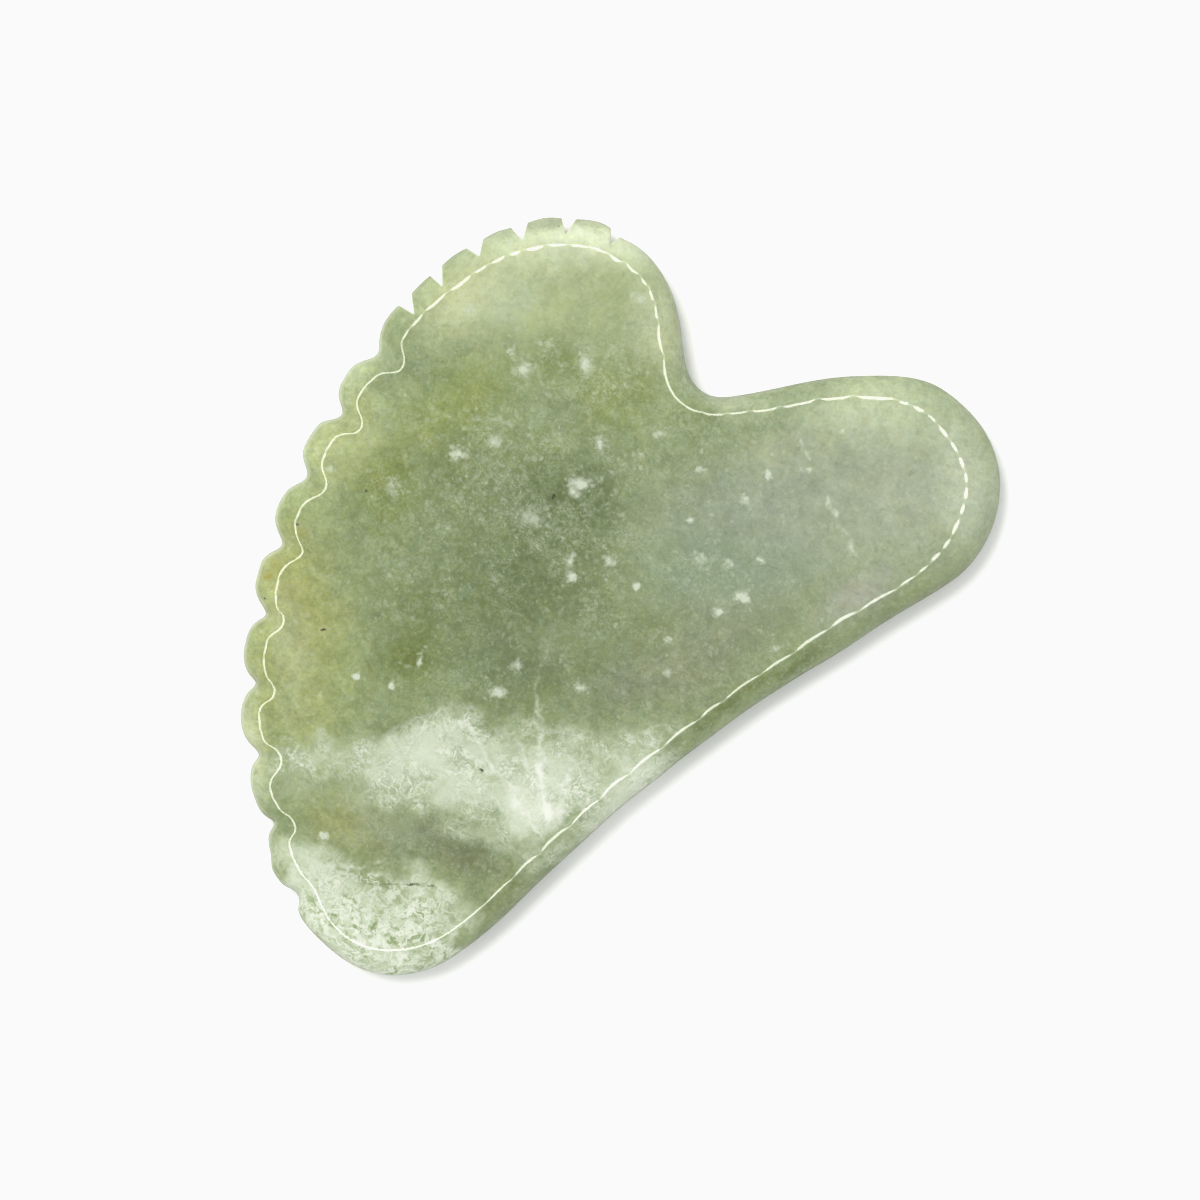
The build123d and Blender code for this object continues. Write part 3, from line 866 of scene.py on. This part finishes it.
CLOUD = [  # white cloud: x, y, radius x, radius y, angle, amount, softness
    (-1.9, -15.1, 20.2, 4.4, 32, 0.55, 0.9), (-8.4, -20.6, 7.9, 4.6, 30, 0.52, 0.9),
    (-6.6, -16.0, 7.6, 3.4, 40, 0.49, 0.9), (-6.4, -22.4, 8.1, 2.6, 27, 0.35, 0.9),
    (-16.1, -26.2, 5.8, 5.2, 30, 0.36, 1.0), (-2.9, -17.4, 10.6, 4.2, 28, 0.62, 0.9),
    (0.7, -18.9, 9.6, 3.2, 26, 0.72, 0.9), (6.3, -15.2, 8.5, 5.4, 82, 0.86, 0.8),
    (5.1, -18.2, 5.0, 2.6, 0, 0.62, 0.8), (-6.3, -14.6, 7.6, 2.4, 42, 0.40, 0.9),
    (-15.2, -23.3, 7.6, 3.2, 30, 0.40, 1.0), (-7.4, -24.8, 8.1, 2.6, 30, 0.30, 1.0),
    (10.7, -9.2, 8.6, 4.0, 72, 0.52, 0.9), (13.4, -5.3, 5.5, 2.4, 65, 0.30, 0.9),
    (13.3, -11.8, 9.3, 3.4, 72, 0.78, 0.7), (10.6, -19.5, 2.8, 1.6, 73, 0.45, 0.9),
    (4.6, -21.2, 12.1, 3.0, 22, 0.26, 1.0), (-5.9, -27.3, 9.1, 2.4, 30, 0.18, 1.0),
    (14.5, -10.3, 7.1, 2.2, 72, 0.45, 0.8), (2.8, -22.6, 7.6, 1.5, 8, 0.30, 1.0),
    (8.5, -22.1, 3.0, 1.6, 70, 0.25, 1.0),
]
TIP = [  # pale tip: x, y, radius x, radius y, angle, amount, softness
    (-3.8, -36.0, 11.1, 7.3, 0, 0.92, 0.8), (1.9, -36.8, 10.6, 3.2, 30, 0.85, 0.8),
    (-9.8, -34.7, 6.0, 6.0, -20, 0.75, 0.9), (1.7, -30.9, 7.0, 4.0, 12, 0.64, 1.0),
    (-13.0, -33.1, 3.6, 3.6, 30, 0.50, 1.0), (6.0, -30.4, 3.5, 2.1, 65, 0.36, 1.0),
    (1.0, -29.7, 4.8, 2.6, 15, 0.34, 1.0), (5.3, -35.6, 6.0, 1.8, 50, 0.55, 0.9),
    (-0.9, -28.3, 5.8, 1.5, 8, 0.28, 1.0),
]
FLECKS = [  # pale flecks: x, y, radius x, radius y, angle, amount
    (-18.4, 9.8, 1.51, 1.11, 30, 0.60), (-16.7, 20.6, 1.81, 1.51, 50, 0.50),
    (-11.7, 24.1, 0.91, 1.51, 30, 0.55), (-18.7, 21.5, 1.11, 1.01, 30, 0.35),
    (-16.0, 24.0, 1.31, 0.91, 30, 0.35), (-15.7, 12.8, 1.01, 0.81, 0, 0.50),
    (-6.4, 17.9, 1.01, 1.51, 30, 0.55), (-6.1, 13.4, 2.42, 0.91, 30, 0.60),
    (-6.3, 12.4, 1.01, 0.81, 30, 0.50), (-22.2, 3.8, 1.51, 1.51, 30, 0.35),
    (0.4, 8.1, 1.01, 1.01, 30, 0.50), (-2.2, 4.9, 0.81, 0.81, 30, 0.80),
    (-3.1, 6.3, 0.60, 0.81, 30, 0.50), (-2.7, -8.8, 1.81, 1.11, 30, 0.55),
    (-2.7, -5.6, 1.21, 1.21, 30, 0.42), (13.7, 11.7, 1.31, 0.91, 15, 0.85),
    (12.3, 9.2, 0.91, 0.71, 30, 0.70), (4.0, 7.3, 0.60, 0.71, 30, 0.85),
    (13.1, 26.2, 0.50, 0.50, 30, 0.60), (5.3, 15.8, 0.60, 0.50, 30, 0.60),
    (13.4, 15.9, 0.60, 0.60, 30, 0.60), (9.4, 4.3, 0.71, 0.60, 30, 0.50),
    (14.1, 31.2, 0.50, 0.50, 30, 0.50), (3.6, 20.7, 0.71, 0.60, 30, 0.45),
    (9.1, 20.4, 1.61, 0.91, 20, 0.32), (9.8, 23.6, 0.60, 0.91, 30, 0.80),
    (10.9, 14.1, 0.50, 0.60, 30, 0.55), (19.1, 9.0, 0.91, 0.81, 30, 0.40),
    (10.9, 1.4, 0.91, 0.81, 30, 0.38), (4.1, -4.3, 1.51, 0.91, 30, 0.45),
    (-11.2, -10.0, 0.40, 1.11, 20, 0.50), (-12.4, -13.6, 0.50, 0.60, 30, 0.85),
    (-16.0, -14.6, 0.60, 0.60, 30, 0.90), (-10.8, -30.2, 0.60, 0.60, 30, 0.85),
    (-2.4, 19.0, 0.91, 0.71, 30, 0.38), (-1.7, 21.8, 0.91, 0.60, 30, 0.40),
    (-8.5, 7.9, 1.61, 1.21, 30, 0.28), (-6.2, 18.5, 0.81, 0.60, 30, 0.40),
    (-10.2, 32.5, 1.21, 1.01, 30, 0.20), (-24.5, 23.1, 1.61, 1.21, 30, 0.25),
    (12.4, 25.7, 0.71, 0.60, 30, 0.35), (8.2, 12.9, 2.02, 1.01, 30, 0.25),
    (-28.7, 2.1, 1.41, 0.81, 30, 0.20),
]
VEINS = [  # pale veins: three points, half width, amount
    ((1.5, 5.3), (-0.2, 4.1), (-1.3, 2.5), 0.22, 0.08),
    ((-1.3, 2.5), (-1.3, 0.2), (-0.9, -2.3), 0.24, 0.12),
    ((-0.9, -2.3), (-0.2, -5.0), (1.0, -7.6), 0.26, 0.20),
    ((0.8, -7.1), (2.7, -9.8), (4.2, -12.7), 0.32, 0.55),
    ((4.0, -12.5), (5.9, -15.0), (8.6, -18.1), 0.42, 0.85),
    ((3.0, -16.9), (5.7, -18.2), (8.7, -19.2), 0.40, 0.60),
    ((1.0, -15.1), (4.7, -17.1), (8.5, -18.8), 0.30, 0.45),
    ((7.6, -11.3), (8.2, -14.5), (9.0, -18.3), 0.30, 0.45),
    ((1.3, -12.0), (4.7, -14.8), (8.0, -17.7), 0.28, 0.40),
    ((-5.4, -13.0), (-1.0, -14.6), (3.0, -16.9), 0.34, 0.50),
    ((10.9, 28.4), (11.8, 27.5), (12.9, 27.1), 0.20, 0.40),
    ((15.8, 24.7), (17.2, 24.1), (18.4, 23.0), 0.26, 0.60),
    ((18.4, 23.0), (20.1, 22.3), (21.4, 20.5), 0.28, 0.50),
    ((-12.5, -32.8), (-10.6, -32.9), (-7.4, -31.8), 0.30, 0.50),
    ((-7.4, -31.8), (-5.3, -30.3), (-4.0, -29.1), 0.24, 0.38),
]
SPOTS = [  # small dark inclusions: x, y, radius, amount
    (-24.33, 1.78, 0.26, 0.80), (-7.84, 11.12, 0.28, 0.85), (-28.75, -4.38, 0.30, 0.90),
    (-27.93, -12.41, 0.32, 0.90), (-21.32, -12.20, 0.34, 0.95), (-0.28, -16.59, 0.34, 0.90),
    (-20.86, 34.98, 0.22, 0.70),
]
AMBER = [  # iron stains: x, y, radius x, radius y, amount
    (-28.7, -10.4, 0.81, 0.71, 0.75), (-28.0, -4.8, 1.21, 0.91, 0.35),
    (-25.6, -11.3, 3.02, 4.03, 0.10), (-28.6, -9.0, 1.21, 2.02, 0.30),
    (-27.4, 2.8, 2.02, 2.62, 0.12),
]
CRACK = [  # short dark crack: start, end, half width, amount
    ((-5.04, -32.25), (-3.28, -31.47), 0.12, 0.50), ((-3.45, -31.57), (-1.58, -30.37), 0.12, 0.60),
    ((-1.75, -30.47), (0.48, -29.30), 0.17, 0.95), ((0.39, -29.35), (1.89, -28.72), 0.13, 0.70),
]
WINDOW = (-0.966, 0.259, 0.0)   # level direction towards the window


def stone(*rgb):
    """Body colour that shows as this sRGB colour under the studio light."""
    parts = [part / 255.0 for part in rgb]
    linear = [v / 12.92 if v <= 0.04045 else ((v + 0.055) / 1.055) ** 2.4 for v in parts]
    return tuple(max((v - VEIL) / GAIN, 0.008) for v in linear)


def gather(point, rows):
    """Blobs laid over one another like films."""
    total = None
    for x, y, radius_x, radius_y, angle, amount, soft in rows:
        mask = blob(point, (x, y), (radius_x, radius_y), angle, soft) * amount
        total = mask if total is None else total + mask - total * mask
    return total


def jade_fields():
    """Warped positions and masks that the layers of the jade share."""
    mm = coordinate("Object") * 1000.0
    broad = wobble(mm, reach=5.5, scale=0.085, detail=3.0, rough=0.55)
    fine = wobble(mm, reach=1.5, scale=0.75, detail=3.0, rough=0.6)
    warped = (mm + broad + fine).flat()
    wander = (mm + wobble(mm, reach=5.0, scale=0.26, detail=4.0, rough=0.62)).flat()
    cloud = gather(wander, CLOUD)
    tip = gather(wander, TIP)
    clear = math_node("SUBTRACT", 1.0, larger(cloud, tip), clamp=True)
    # colour varies less on the long lobe, and on the small lobe
    lively = 1.0 - blob(warped, (19.0, 22.0), (30.0, 22.0), 40.0, soft=0.6) * 0.40
    lively = lively * (1.0 - blob(warped, (-17.7, 29.4), (26.0, 15.0), 30.0, soft=0.7) * 0.45)
    tiny = (mm + wobble(mm, reach=0.75, scale=1.9, detail=3.0, rough=0.6)).flat()
    # where pale flecks crowd together, and where single ones are placed
    middle = blob(warped, (-9.0, 14.0), (34.0, 24.0), 62.0)
    crowd = noise(mm + (50.0, 9.0, 2.0), scale=0.20, detail=4.0, rough=0.6, distortion=0.4)
    crowd = fade(crowd, (0.36, 0.62), to=(0.22, 1.0)) * (middle * 0.70 + 0.30)
    crowd = crowd * (clear * 0.85 + 0.15)
    placed = reduce(larger, (
        blob(tiny, (x, y), (radius_x * 1.35, radius_y * 1.35), angle) * (0.45 + amount)
        for x, y, radius_x, radius_y, angle, amount in FLECKS
    ))
    return SimpleNamespace(
        mm=mm, fine=fine, warped=warped, near=(mm + fine).flat(), tiny=tiny, wander=wander,
        swirl=mm + wobble(mm, reach=4.0, scale=0.33, detail=3.0, rough=0.6),
        cloud=cloud, tip=tip, clear=clear, lively=lively, crowd=crowd, placed=placed,
        patch=swing(mm + (3.0, 60.0, 8.0), scale=0.55, detail=5.0, rough=0.68, distortion=0.6),
        wisp=noise(mm + (5.0, 19.0, 2.0), scale=1.2, detail=5.0, rough=0.7, distortion=0.5),
    )


def body_color(field):
    """Colour zones, with hue and value drifting between yellow-olive and cool green."""
    mm, lively = field.mm, field.lively
    color = mix(0.0, stone(143, 156, 118), stone(143, 156, 118))
    for x, y, radius_x, radius_y, angle, rgb, soft, amount in ZONES:
        mask = blob(field.warped, (x, y), (radius_x, radius_y), angle, soft)
        color = mix(mask * amount, color, stone(*rgb))

    hue = swing(mm + (17.0, 5.0, 3.0), scale=0.24, detail=5.0, rough=0.62, distortion=0.5)
    drift = mix(fade(hue, (-0.9, 0.9)), (0.985, 1.004, 1.015), (1.025, 1.0, 0.91))
    color = mix(lively, color, tint(color, drift))
    hue = swing(mm + (9.0, 33.0, 13.0), scale=0.9, detail=4.0, rough=0.65, distortion=0.4)
    drift = mix(fade(hue, (-0.9, 0.9)), (0.975, 1.005, 1.04), (1.03, 1.0, 0.90))
    color = mix(lively, color, tint(color, drift))
    value = swing(mm, scale=0.17, detail=4.0, rough=0.6, distortion=0.6)
    color = tint(color, ramp(value, (-1.0, 1.0), to=(0.91, 1.09)))
    color = mix(lively, color, tint(color, ramp(field.patch, (-0.8, 0.8), to=(0.87, 1.13))))
    mottle = swing(field.near + (70.0, 2.0, 31.0), scale=1.5, detail=4.0, rough=0.62,
                   distortion=0.3)
    color = mix(lively, color, tint(color, fade(mottle, (-0.55, 0.55), to=(0.92, 1.08))))
    # short dark strokes lying every way in the clear stone
    stroke = ridge(field.swirl + (12.0, 3.0, 40.0), scale=0.8, detail=4.0, rough=0.65,
                   distortion=0.8, width=0.035)
    stroke = stroke * (field.clear * lively) * fade(field.patch, (0.4, -0.4), to=(0.0, 0.24))
    return mix(stroke, color, stone(104, 124, 72))


def add_flecks(color, field):
    """Haze, flakes and threads of pale stone."""
    crowd, placed, wisp = field.crowd, field.placed, field.wisp
    haze = placed * 0.42 + crowd * 0.33
    haze = fade(haze + (wisp - 0.5) * 1.3, (0.20, 0.62))
    haze = math_node("MULTIPLY", haze, crowd * 0.45 + placed * 0.55, clamp=True)
    color = mix(haze * 0.62, color, stone(196, 205, 184))
    flake = fade(placed + (wisp - 0.5) * 1.5, (0.50, 0.92))
    color = mix(flake * 0.32, color, stone(208, 216, 196))
    strong = fade(placed + (wisp - 0.5) * 1.1, (0.80, 1.05))
    color = mix(strong * 0.62, color, stone(216, 223, 204))
    # faint pale threads between the grains
    thread = larger(
        ridge(field.swirl + (44.0, 8.0, 15.0), scale=1.15, detail=3.0, rough=0.62,
              distortion=0.9, width=0.045),
        ridge(field.swirl + (9.0, 28.0, 75.0), scale=0.62, detail=4.0, rough=0.66,
              distortion=0.9, width=0.028),
    )
    patchy = fade(field.patch, (-0.5, 0.5), to=(0.15, 1.0)) * (crowd * 0.75 + 0.25)
    return mix(thread * field.clear * patchy * 0.42, color, stone(200, 209, 186))


def add_grains(color, field):
    """Angular grains, gathered in clusters, then a fine grain through the whole body."""
    crowd, placed, clear = field.crowd, field.placed, field.clear
    layers = [  # scale, offset, share of cells, (least, most) amount, colour
        (1.25, (0.0, 0.0, 0.0), crowd * 0.14 + placed * 0.55, (0.06, 0.56), (210, 217, 198)),
        (2.2, (40.0, 3.0, 0.0), crowd * 0.34 + placed * 0.42, (0.05, 0.42), (206, 214, 192)),
        (1.6, (4.0, 51.0, 3.0), clear * 0.26, (0.03, 0.24), (198, 207, 182)),
        (2.8, (14.0, 31.0, 6.0), clear * 0.28, (0.03, 0.20), (200, 209, 184)),
        (2.0, (24.0, 11.0, 8.0), clear * 0.24, (0.03, 0.22), (104, 122, 74)),
        (3.6, (7.0, 3.0, 5.0), crowd * 0.22 + placed * 0.30, (0.05, 0.36), (206, 214, 192)),
    ]
    for scale, offset, share, amounts, rgb in layers:
        point = field.mm + field.fine * 0.28 + offset
        cell = voronoi(point, scale, feature="F1", output="Color")
        edge = voronoi(point, scale, feature="DISTANCE_TO_EDGE", output="Distance")
        mask = fade(share - cell.dot((1.0, 0.0, 0.0)), (0.0, 0.14)) * fade(edge, (0.0, 0.32))
        amount = ramp(cell.dot((0.0, 1.0, 0.0)), (0.0, 1.0), to=amounts)
        color = mix(mask * amount, color, stone(*rgb))
    grain = noise(field.mm, scale=3.0, detail=4.0, rough=0.75, distortion=0.3)
    return tint(color, (grain - 0.5) * (field.tip * 0.6 + field.lively * 0.58) + 1.0)


def add_cloud(color, field):
    """White cloud: translucent haze, wool and curling fibres."""
    cloud, swirl = field.cloud, field.swirl
    fluff = swing(swirl, scale=0.34, detail=3.0, rough=0.6, distortion=0.4)
    amount = cloud + fluff * 0.16 * fade(cloud, (0.0, 0.3))
    amount = fade(amount, (0.0, 1.0), to=(0.0, 0.93))
    wool = mix(fade(amount, (0.35, 0.95)), stone(188, 199, 170), stone(216, 223, 201))
    color = mix(amount, color, wool)
    lumpy = swing(field.mm + (81.0, 14.0, 2.0), scale=0.30, detail=3.0, rough=0.6)
    lumpy = fade(lumpy, (-0.6, 0.8), to=(0.15, 1.0))
    broad = ridge(swirl, scale=0.30, detail=3.0, rough=0.55, distortion=0.7, width=0.035)
    medium = ridge(swirl + (31.0, 7.0, 1.0), scale=0.55, detail=3.0, rough=0.6,
                   distortion=0.6, width=0.050)
    small = ridge(swirl + (1.0, 67.0, 11.0), scale=1.1, detail=2.0, rough=0.6,
                  distortion=0.6, width=0.080)
    curl = larger(larger(broad, medium * 0.85), small * 0.5)
    curl = curl * (fade(cloud, (0.04, 0.50)) * lumpy)
    color = mix(curl * 0.85, color, stone(242, 245, 231))
    broad = ridge(swirl + (2.0, 77.0, 6.0), scale=0.42, detail=3.0, rough=0.6,
                  distortion=0.8, width=0.07)
    small = ridge(swirl + (22.0, 7.0, 26.0), scale=1.0, detail=2.0, rough=0.6,
                  distortion=0.8, width=0.09)
    in_cloud = fade(cloud, (0.05, 0.45)) * fade(cloud, (1.0, 0.80), to=(0.20, 1.0))
    dim = larger(broad, small * 0.6) * in_cloud
    return mix(dim * lumpy * 0.66, color, stone(152, 166, 133))


def add_tip(color, field):
    """Mottled pale tip with dark green pockets between the white grains."""
    mm, swirl, tip = field.mm, field.swirl, field.tip
    pocket = swing(swirl + (3.0, 41.0, 9.0), scale=0.30, detail=3.0, rough=0.6, distortion=0.5)
    amount = tip + pocket * 0.26 * fade(tip, (0.0, 0.3))
    color = mix(fade(amount, (0.05, 0.92), to=(0.0, 0.95)), color, stone(205, 214, 189))
    here = fade(tip, (0.12, 0.55))
    uneven = swing(mm + (8.0, 24.0, 62.0), scale=0.28, detail=2.0, rough=0.5)
    here = here * fade(uneven, (-0.6, 0.4), to=(0.55, 1.0))
    middle = blob(field.wander, (-1.6, -35.8), (14.0, 9.0), 15.0, soft=0.7)
    here = here * fade(middle, (0.0, 1.0), to=(0.22, 1.0))
    knot = swing(swirl + (23.0, 4.0, 19.0), scale=0.62, detail=3.0, rough=0.6, distortion=0.5)
    color = mix(fade(knot, (0.22, 0.50)) * here * 0.80, color, stone(142, 160, 106))
    net = ridge(swirl + (3.0, 41.0, 9.0), scale=0.45, detail=3.0, rough=0.6,
                distortion=0.6, width=0.050)
    color = mix(net * here * 0.62, color, stone(140, 158, 110))
    bright = ridge(swirl + (63.0, 1.0, 9.0), scale=0.60, detail=3.0, rough=0.6,
                   distortion=0.6, width=0.085)
    color = mix(bright * here * 0.74, color, stone(240, 244, 230))
    speck = swing(mm + (13.0, 11.0, 49.0), scale=1.9, detail=2.0, rough=0.6, distortion=0.4)
    return mix(fade(speck, (0.35, 0.75)) * (here * 0.48), color, stone(128, 147, 94))


def add_marks(color, field):
    """Thin pale veins, iron stains, dark inclusions and the short crack in the tip."""
    bend = (field.mm + wobble(field.mm, reach=2.4, scale=0.5, detail=2.0, rough=0.5)).flat()
    lines = reduce(larger, (
        streak(bend, start, end, stretch=0.72, half=half * 1.9) * amount
        for first, middle, last, half, amount in VEINS
        for start, end in ((first, middle), (middle, last))
    ))
    broken = ramp(field.wisp, (0.38, 0.58), to=(0.10, 1.2))
    broken = larger(broken, fade(lines, (0.30, 0.65)))
    lines = math_node("MULTIPLY", lines, broken, clamp=True)
    pale = mix(fade(field.cloud, (0.1, 0.5)), stone(222, 228, 208), stone(242, 245, 234))
    color = mix(lines, color, pale)
    for x, y, radius_x, radius_y, amount in AMBER:
        mask = blob(field.tiny, (x, y), (radius_x, radius_y))
        color = mix(mask * amount, color, stone(160, 150, 66))
    for x, y, radius, amount in SPOTS:
        mask = blob(field.near, (x, y), (radius * 0.95, radius * 0.78), soft=0.8)
        color = mix(mask * amount, color, stone(60, 54, 30))
    crack = reduce(larger, (
        streak(field.tiny, start, end, stretch=0.62, half=half) * amount
        for start, end, half, amount in CRACK
    ))
    return mix(crack, color, stone(84, 100, 52))


def paint_rim_light(color, field, cut):
    """Painted rim light in the base colour: paler at the outline on the comb side and the small
    lobe.
    """
    normal = coordinate("Normal")
    side = fade(normal.dot(WINDOW), (-0.1, 0.6))
    side = side * blob(field.mm.flat(), (-26.0, -8.0), (19.0, 38.0), 24.0, soft=0.35)
    # painted light: the outline is paler within half a millimetre where it faces the window
    painted_edge_light = fade(attribute("edge_mm"), (0.05, 0.50), to=(0.75, 0.0)) * side
    color = mix(painted_edge_light, color, mix(0.8, color, stone(226, 234, 206)))
    # light soaks through the thin edge, so its far side is lit from within
    # painted light: the flank turned from the window gets a brighter base colour, for light through
    # the thin edge
    painted_backlight = ramp(normal.dot(WINDOW), (-0.6, 0.5), to=(1.15, 1.01))
    color = mix(fade(attribute("reach"), (0.02, 0.30)), color, tint(color, painted_backlight))
    return mix(cut * 0.62, color, stone(226, 230, 212))


def jade():
    material = bpy.data.materials.new("jade")
    start_tree(material)
    field = jade_fields()
    color = body_color(field)
    for layer in (add_flecks, add_grains, add_cloud, add_tip, add_marks):
        color = layer(color, field)
    cut = attribute("cut")
    dull = attribute("dull")
    polish = noise(field.mm, scale=0.8, detail=3.0, rough=0.6)
    bump = add_node("ShaderNodeBump", {
        "Strength": 0.10,
        "Distance": 0.00002,
        "Height": noise(field.mm, scale=1.3, detail=3.0, rough=0.6),
    })
    shader = add_node("ShaderNodeBsdfPrincipled", {
        "Base Color": paint_rim_light(color, field, cut),
        "IOR": 1.61,
        "Roughness": lerp(cut, ramp(polish, (0.3, 0.7), to=(0.05, 0.085)), 0.55),
        "Subsurface Weight": 0.50,
        "Subsurface Radius": (1.0, 1.15, 0.75),
        "Subsurface Scale": 0.0010,
        "Specular IOR Level": lerp(dull, 0.5, 0.04),
        "Coat Weight": lerp(cut, 0.30, 0.0) * math_node("SUBTRACT", 1.0, dull, clamp=True),
        "Coat Roughness": 0.04,
        "Normal": Value(bump.outputs[0]),
    }, subsurface_method="RANDOM_WALK")
    finish_tree(shader)
    return material


plate.data.materials.append(jade())
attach(plate, "root")
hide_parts(NODE)

# ---------------------------------------------------------------------------
# Pale floor, soft light and the camera
# ---------------------------------------------------------------------------
FLOOR_HALF = 6.0                # metres
RING_INNER, RING_OUTER = 0.150, 0.320
RING_SEGMENTS = 96
RING_HEIGHT = 0.800
VIEW_AT = (1.44, 4.32)          # middle of the view in plan, mm
VIEW_WIDTH = 120.98             # mm
VIEW_TURN = math.radians(30)
AROUND_LOW, AROUND_HIGH = 0.83, 1.25    # world strength away from and towards the window
SUN_POWER = 2.7
SUN_TILT = math.radians(27)     # from straight overhead towards the window


def paper():
    material = bpy.data.materials.new("pale_floor")
    start_tree(material)
    tone = noise(coordinate("Object") * 1000.0, scale=0.02, detail=3.0, rough=0.5)
    color = mix(fade(tone, (0.3, 0.7)), (0.893, 0.891, 0.872), (0.912, 0.910, 0.890))
    # reflections see a darker floor
    finish_tree(add_node("ShaderNodeBsdfPrincipled", {
        "Base Color": mix(light_path("Is Glossy Ray"), color, (0.32, 0.33, 0.30)),
        "Roughness": 0.75,
        "Specular IOR Level": 0.2,
    }))
    return material


def add_floor():
    mesh = bpy.data.meshes.new("floor")
    corners = [(x * FLOOR_HALF, y * FLOOR_HALF, 0) for x, y in ((-1, -1), (1, -1), (1, 1), (-1, 1))]
    mesh.from_pydata(corners, [], [(0, 1, 2, 3)])
    mesh.materials.append(paper())
    floor = add_object("floor", mesh)
    floor.location = (0, 0, BOTTOM * MM)


def add_ring_light():
    """Ring light above the plate: seen only as the thin reflection along the arris."""
    mesh = bpy.data.meshes.new("ring_light")
    points, faces = [], []
    for k in range(RING_SEGMENTS):
        angle = 2 * math.pi * k / RING_SEGMENTS
        for radius in (RING_INNER, RING_OUTER):
            points.append((radius * math.cos(angle), radius * math.sin(angle), 0))
        here, after = 2 * k, 2 * ((k + 1) % RING_SEGMENTS)
        faces.append((here, here + 1, after + 1, after))
    mesh.from_pydata(points, [], faces)
    material = bpy.data.materials.new("ring_light")
    start_tree(material)
    finish_tree(add_node("ShaderNodeEmission", {"Color": (1.0, 1.0, 0.88), "Strength": 9.0}))
    mesh.materials.append(material)
    ring = add_object("ring_light", mesh)
    ring.location = (VIEW_AT[0] * MM, VIEW_AT[1] * MM, RING_HEIGHT)
    for ray in ("camera", "diffuse", "transmission", "volume_scatter", "shadow"):
        setattr(ring, "visible_" + ray, False)


def set_world():
    """Soft surroundings, brighter towards the window; the camera sees them as plain pale."""
    world = bpy.data.worlds.new("studio")
    bpy.context.scene.world = world
    start_tree(world)
    toward = coordinate("Generated").dot(WINDOW)
    level = ramp(toward, (-0.9, 0.9), to=(AROUND_LOW, AROUND_HIGH))
    level = level * lerp(light_path("Is Glossy Ray"), 1.0, 0.35)
    background = add_node("ShaderNodeBackground", {
        "Color": (0.965, 0.985, 1.0),
        "Strength": lerp(light_path("Is Camera Ray"), level, 1.25),
    })
    finish_tree(background, "ShaderNodeOutputWorld")


def add_sun():
    data = bpy.data.lights.new("window", "SUN")
    data.energy = SUN_POWER
    data.angle = math.radians(26.0)
    data.color = (1.0, 0.99, 0.965)
    sun = add_object("window", data)
    level = math.sin(SUN_TILT)
    sun_from = Vector((WINDOW[0] * level, WINDOW[1] * level, math.cos(SUN_TILT)))
    sun.rotation_mode = "QUATERNION"
    sun.rotation_quaternion = (-sun_from).to_track_quat("-Z", "Y")
    sun.visible_glossy = False


def add_camera():
    """Camera straight above, turned about Z so that the plate leans in the view."""
    data = bpy.data.cameras.new("camera")
    data.type = "PERSP"
    data.lens = 300.0
    data.sensor_width = 36.0
    data.clip_start = 0.01
    data.clip_end = 20.0
    camera = add_object("camera", data)
    distance = VIEW_WIDTH * MM * PLAN_SCALE * data.lens / data.sensor_width
    x, y = ((VIEW_AT[k] * PLAN_SCALE + CENTRE[k]) * MM for k in (0, 1))
    cosine, sine = math.cos(VIEW_TURN), math.sin(VIEW_TURN)
    camera.matrix_world = Matrix((
        (cosine, -sine, 0, x),
        (sine, cosine, 0, y),
        (0, 0, 1, (BOTTOM + HALF) * MM + distance),
        (0, 0, 0, 1),
    ))
    bpy.context.scene.camera = camera


def set_view():
    """High-key exposure: the shoulder holds the floor just under white."""
    view = bpy.context.scene.view_settings
    view.view_transform = "Standard"
    view.look = "None"
    view.use_curve_mapping = True
    view.curve_mapping.use_clip = False
    view.curve_mapping.extend = "HORIZONTAL"
    tone = view.curve_mapping.curves[3]
    tone.points[0].location = (0.0, 0.0)
    tone.points[-1].location = (1.0, 0.956)
    for x, y in ((0.35, 0.35), (0.70, 0.70), (0.85, 0.838)):
        tone.points.new(x, y)
    view.curve_mapping.update()


add_floor()
add_ring_light()
set_world()
add_sun()
add_camera()
set_view()
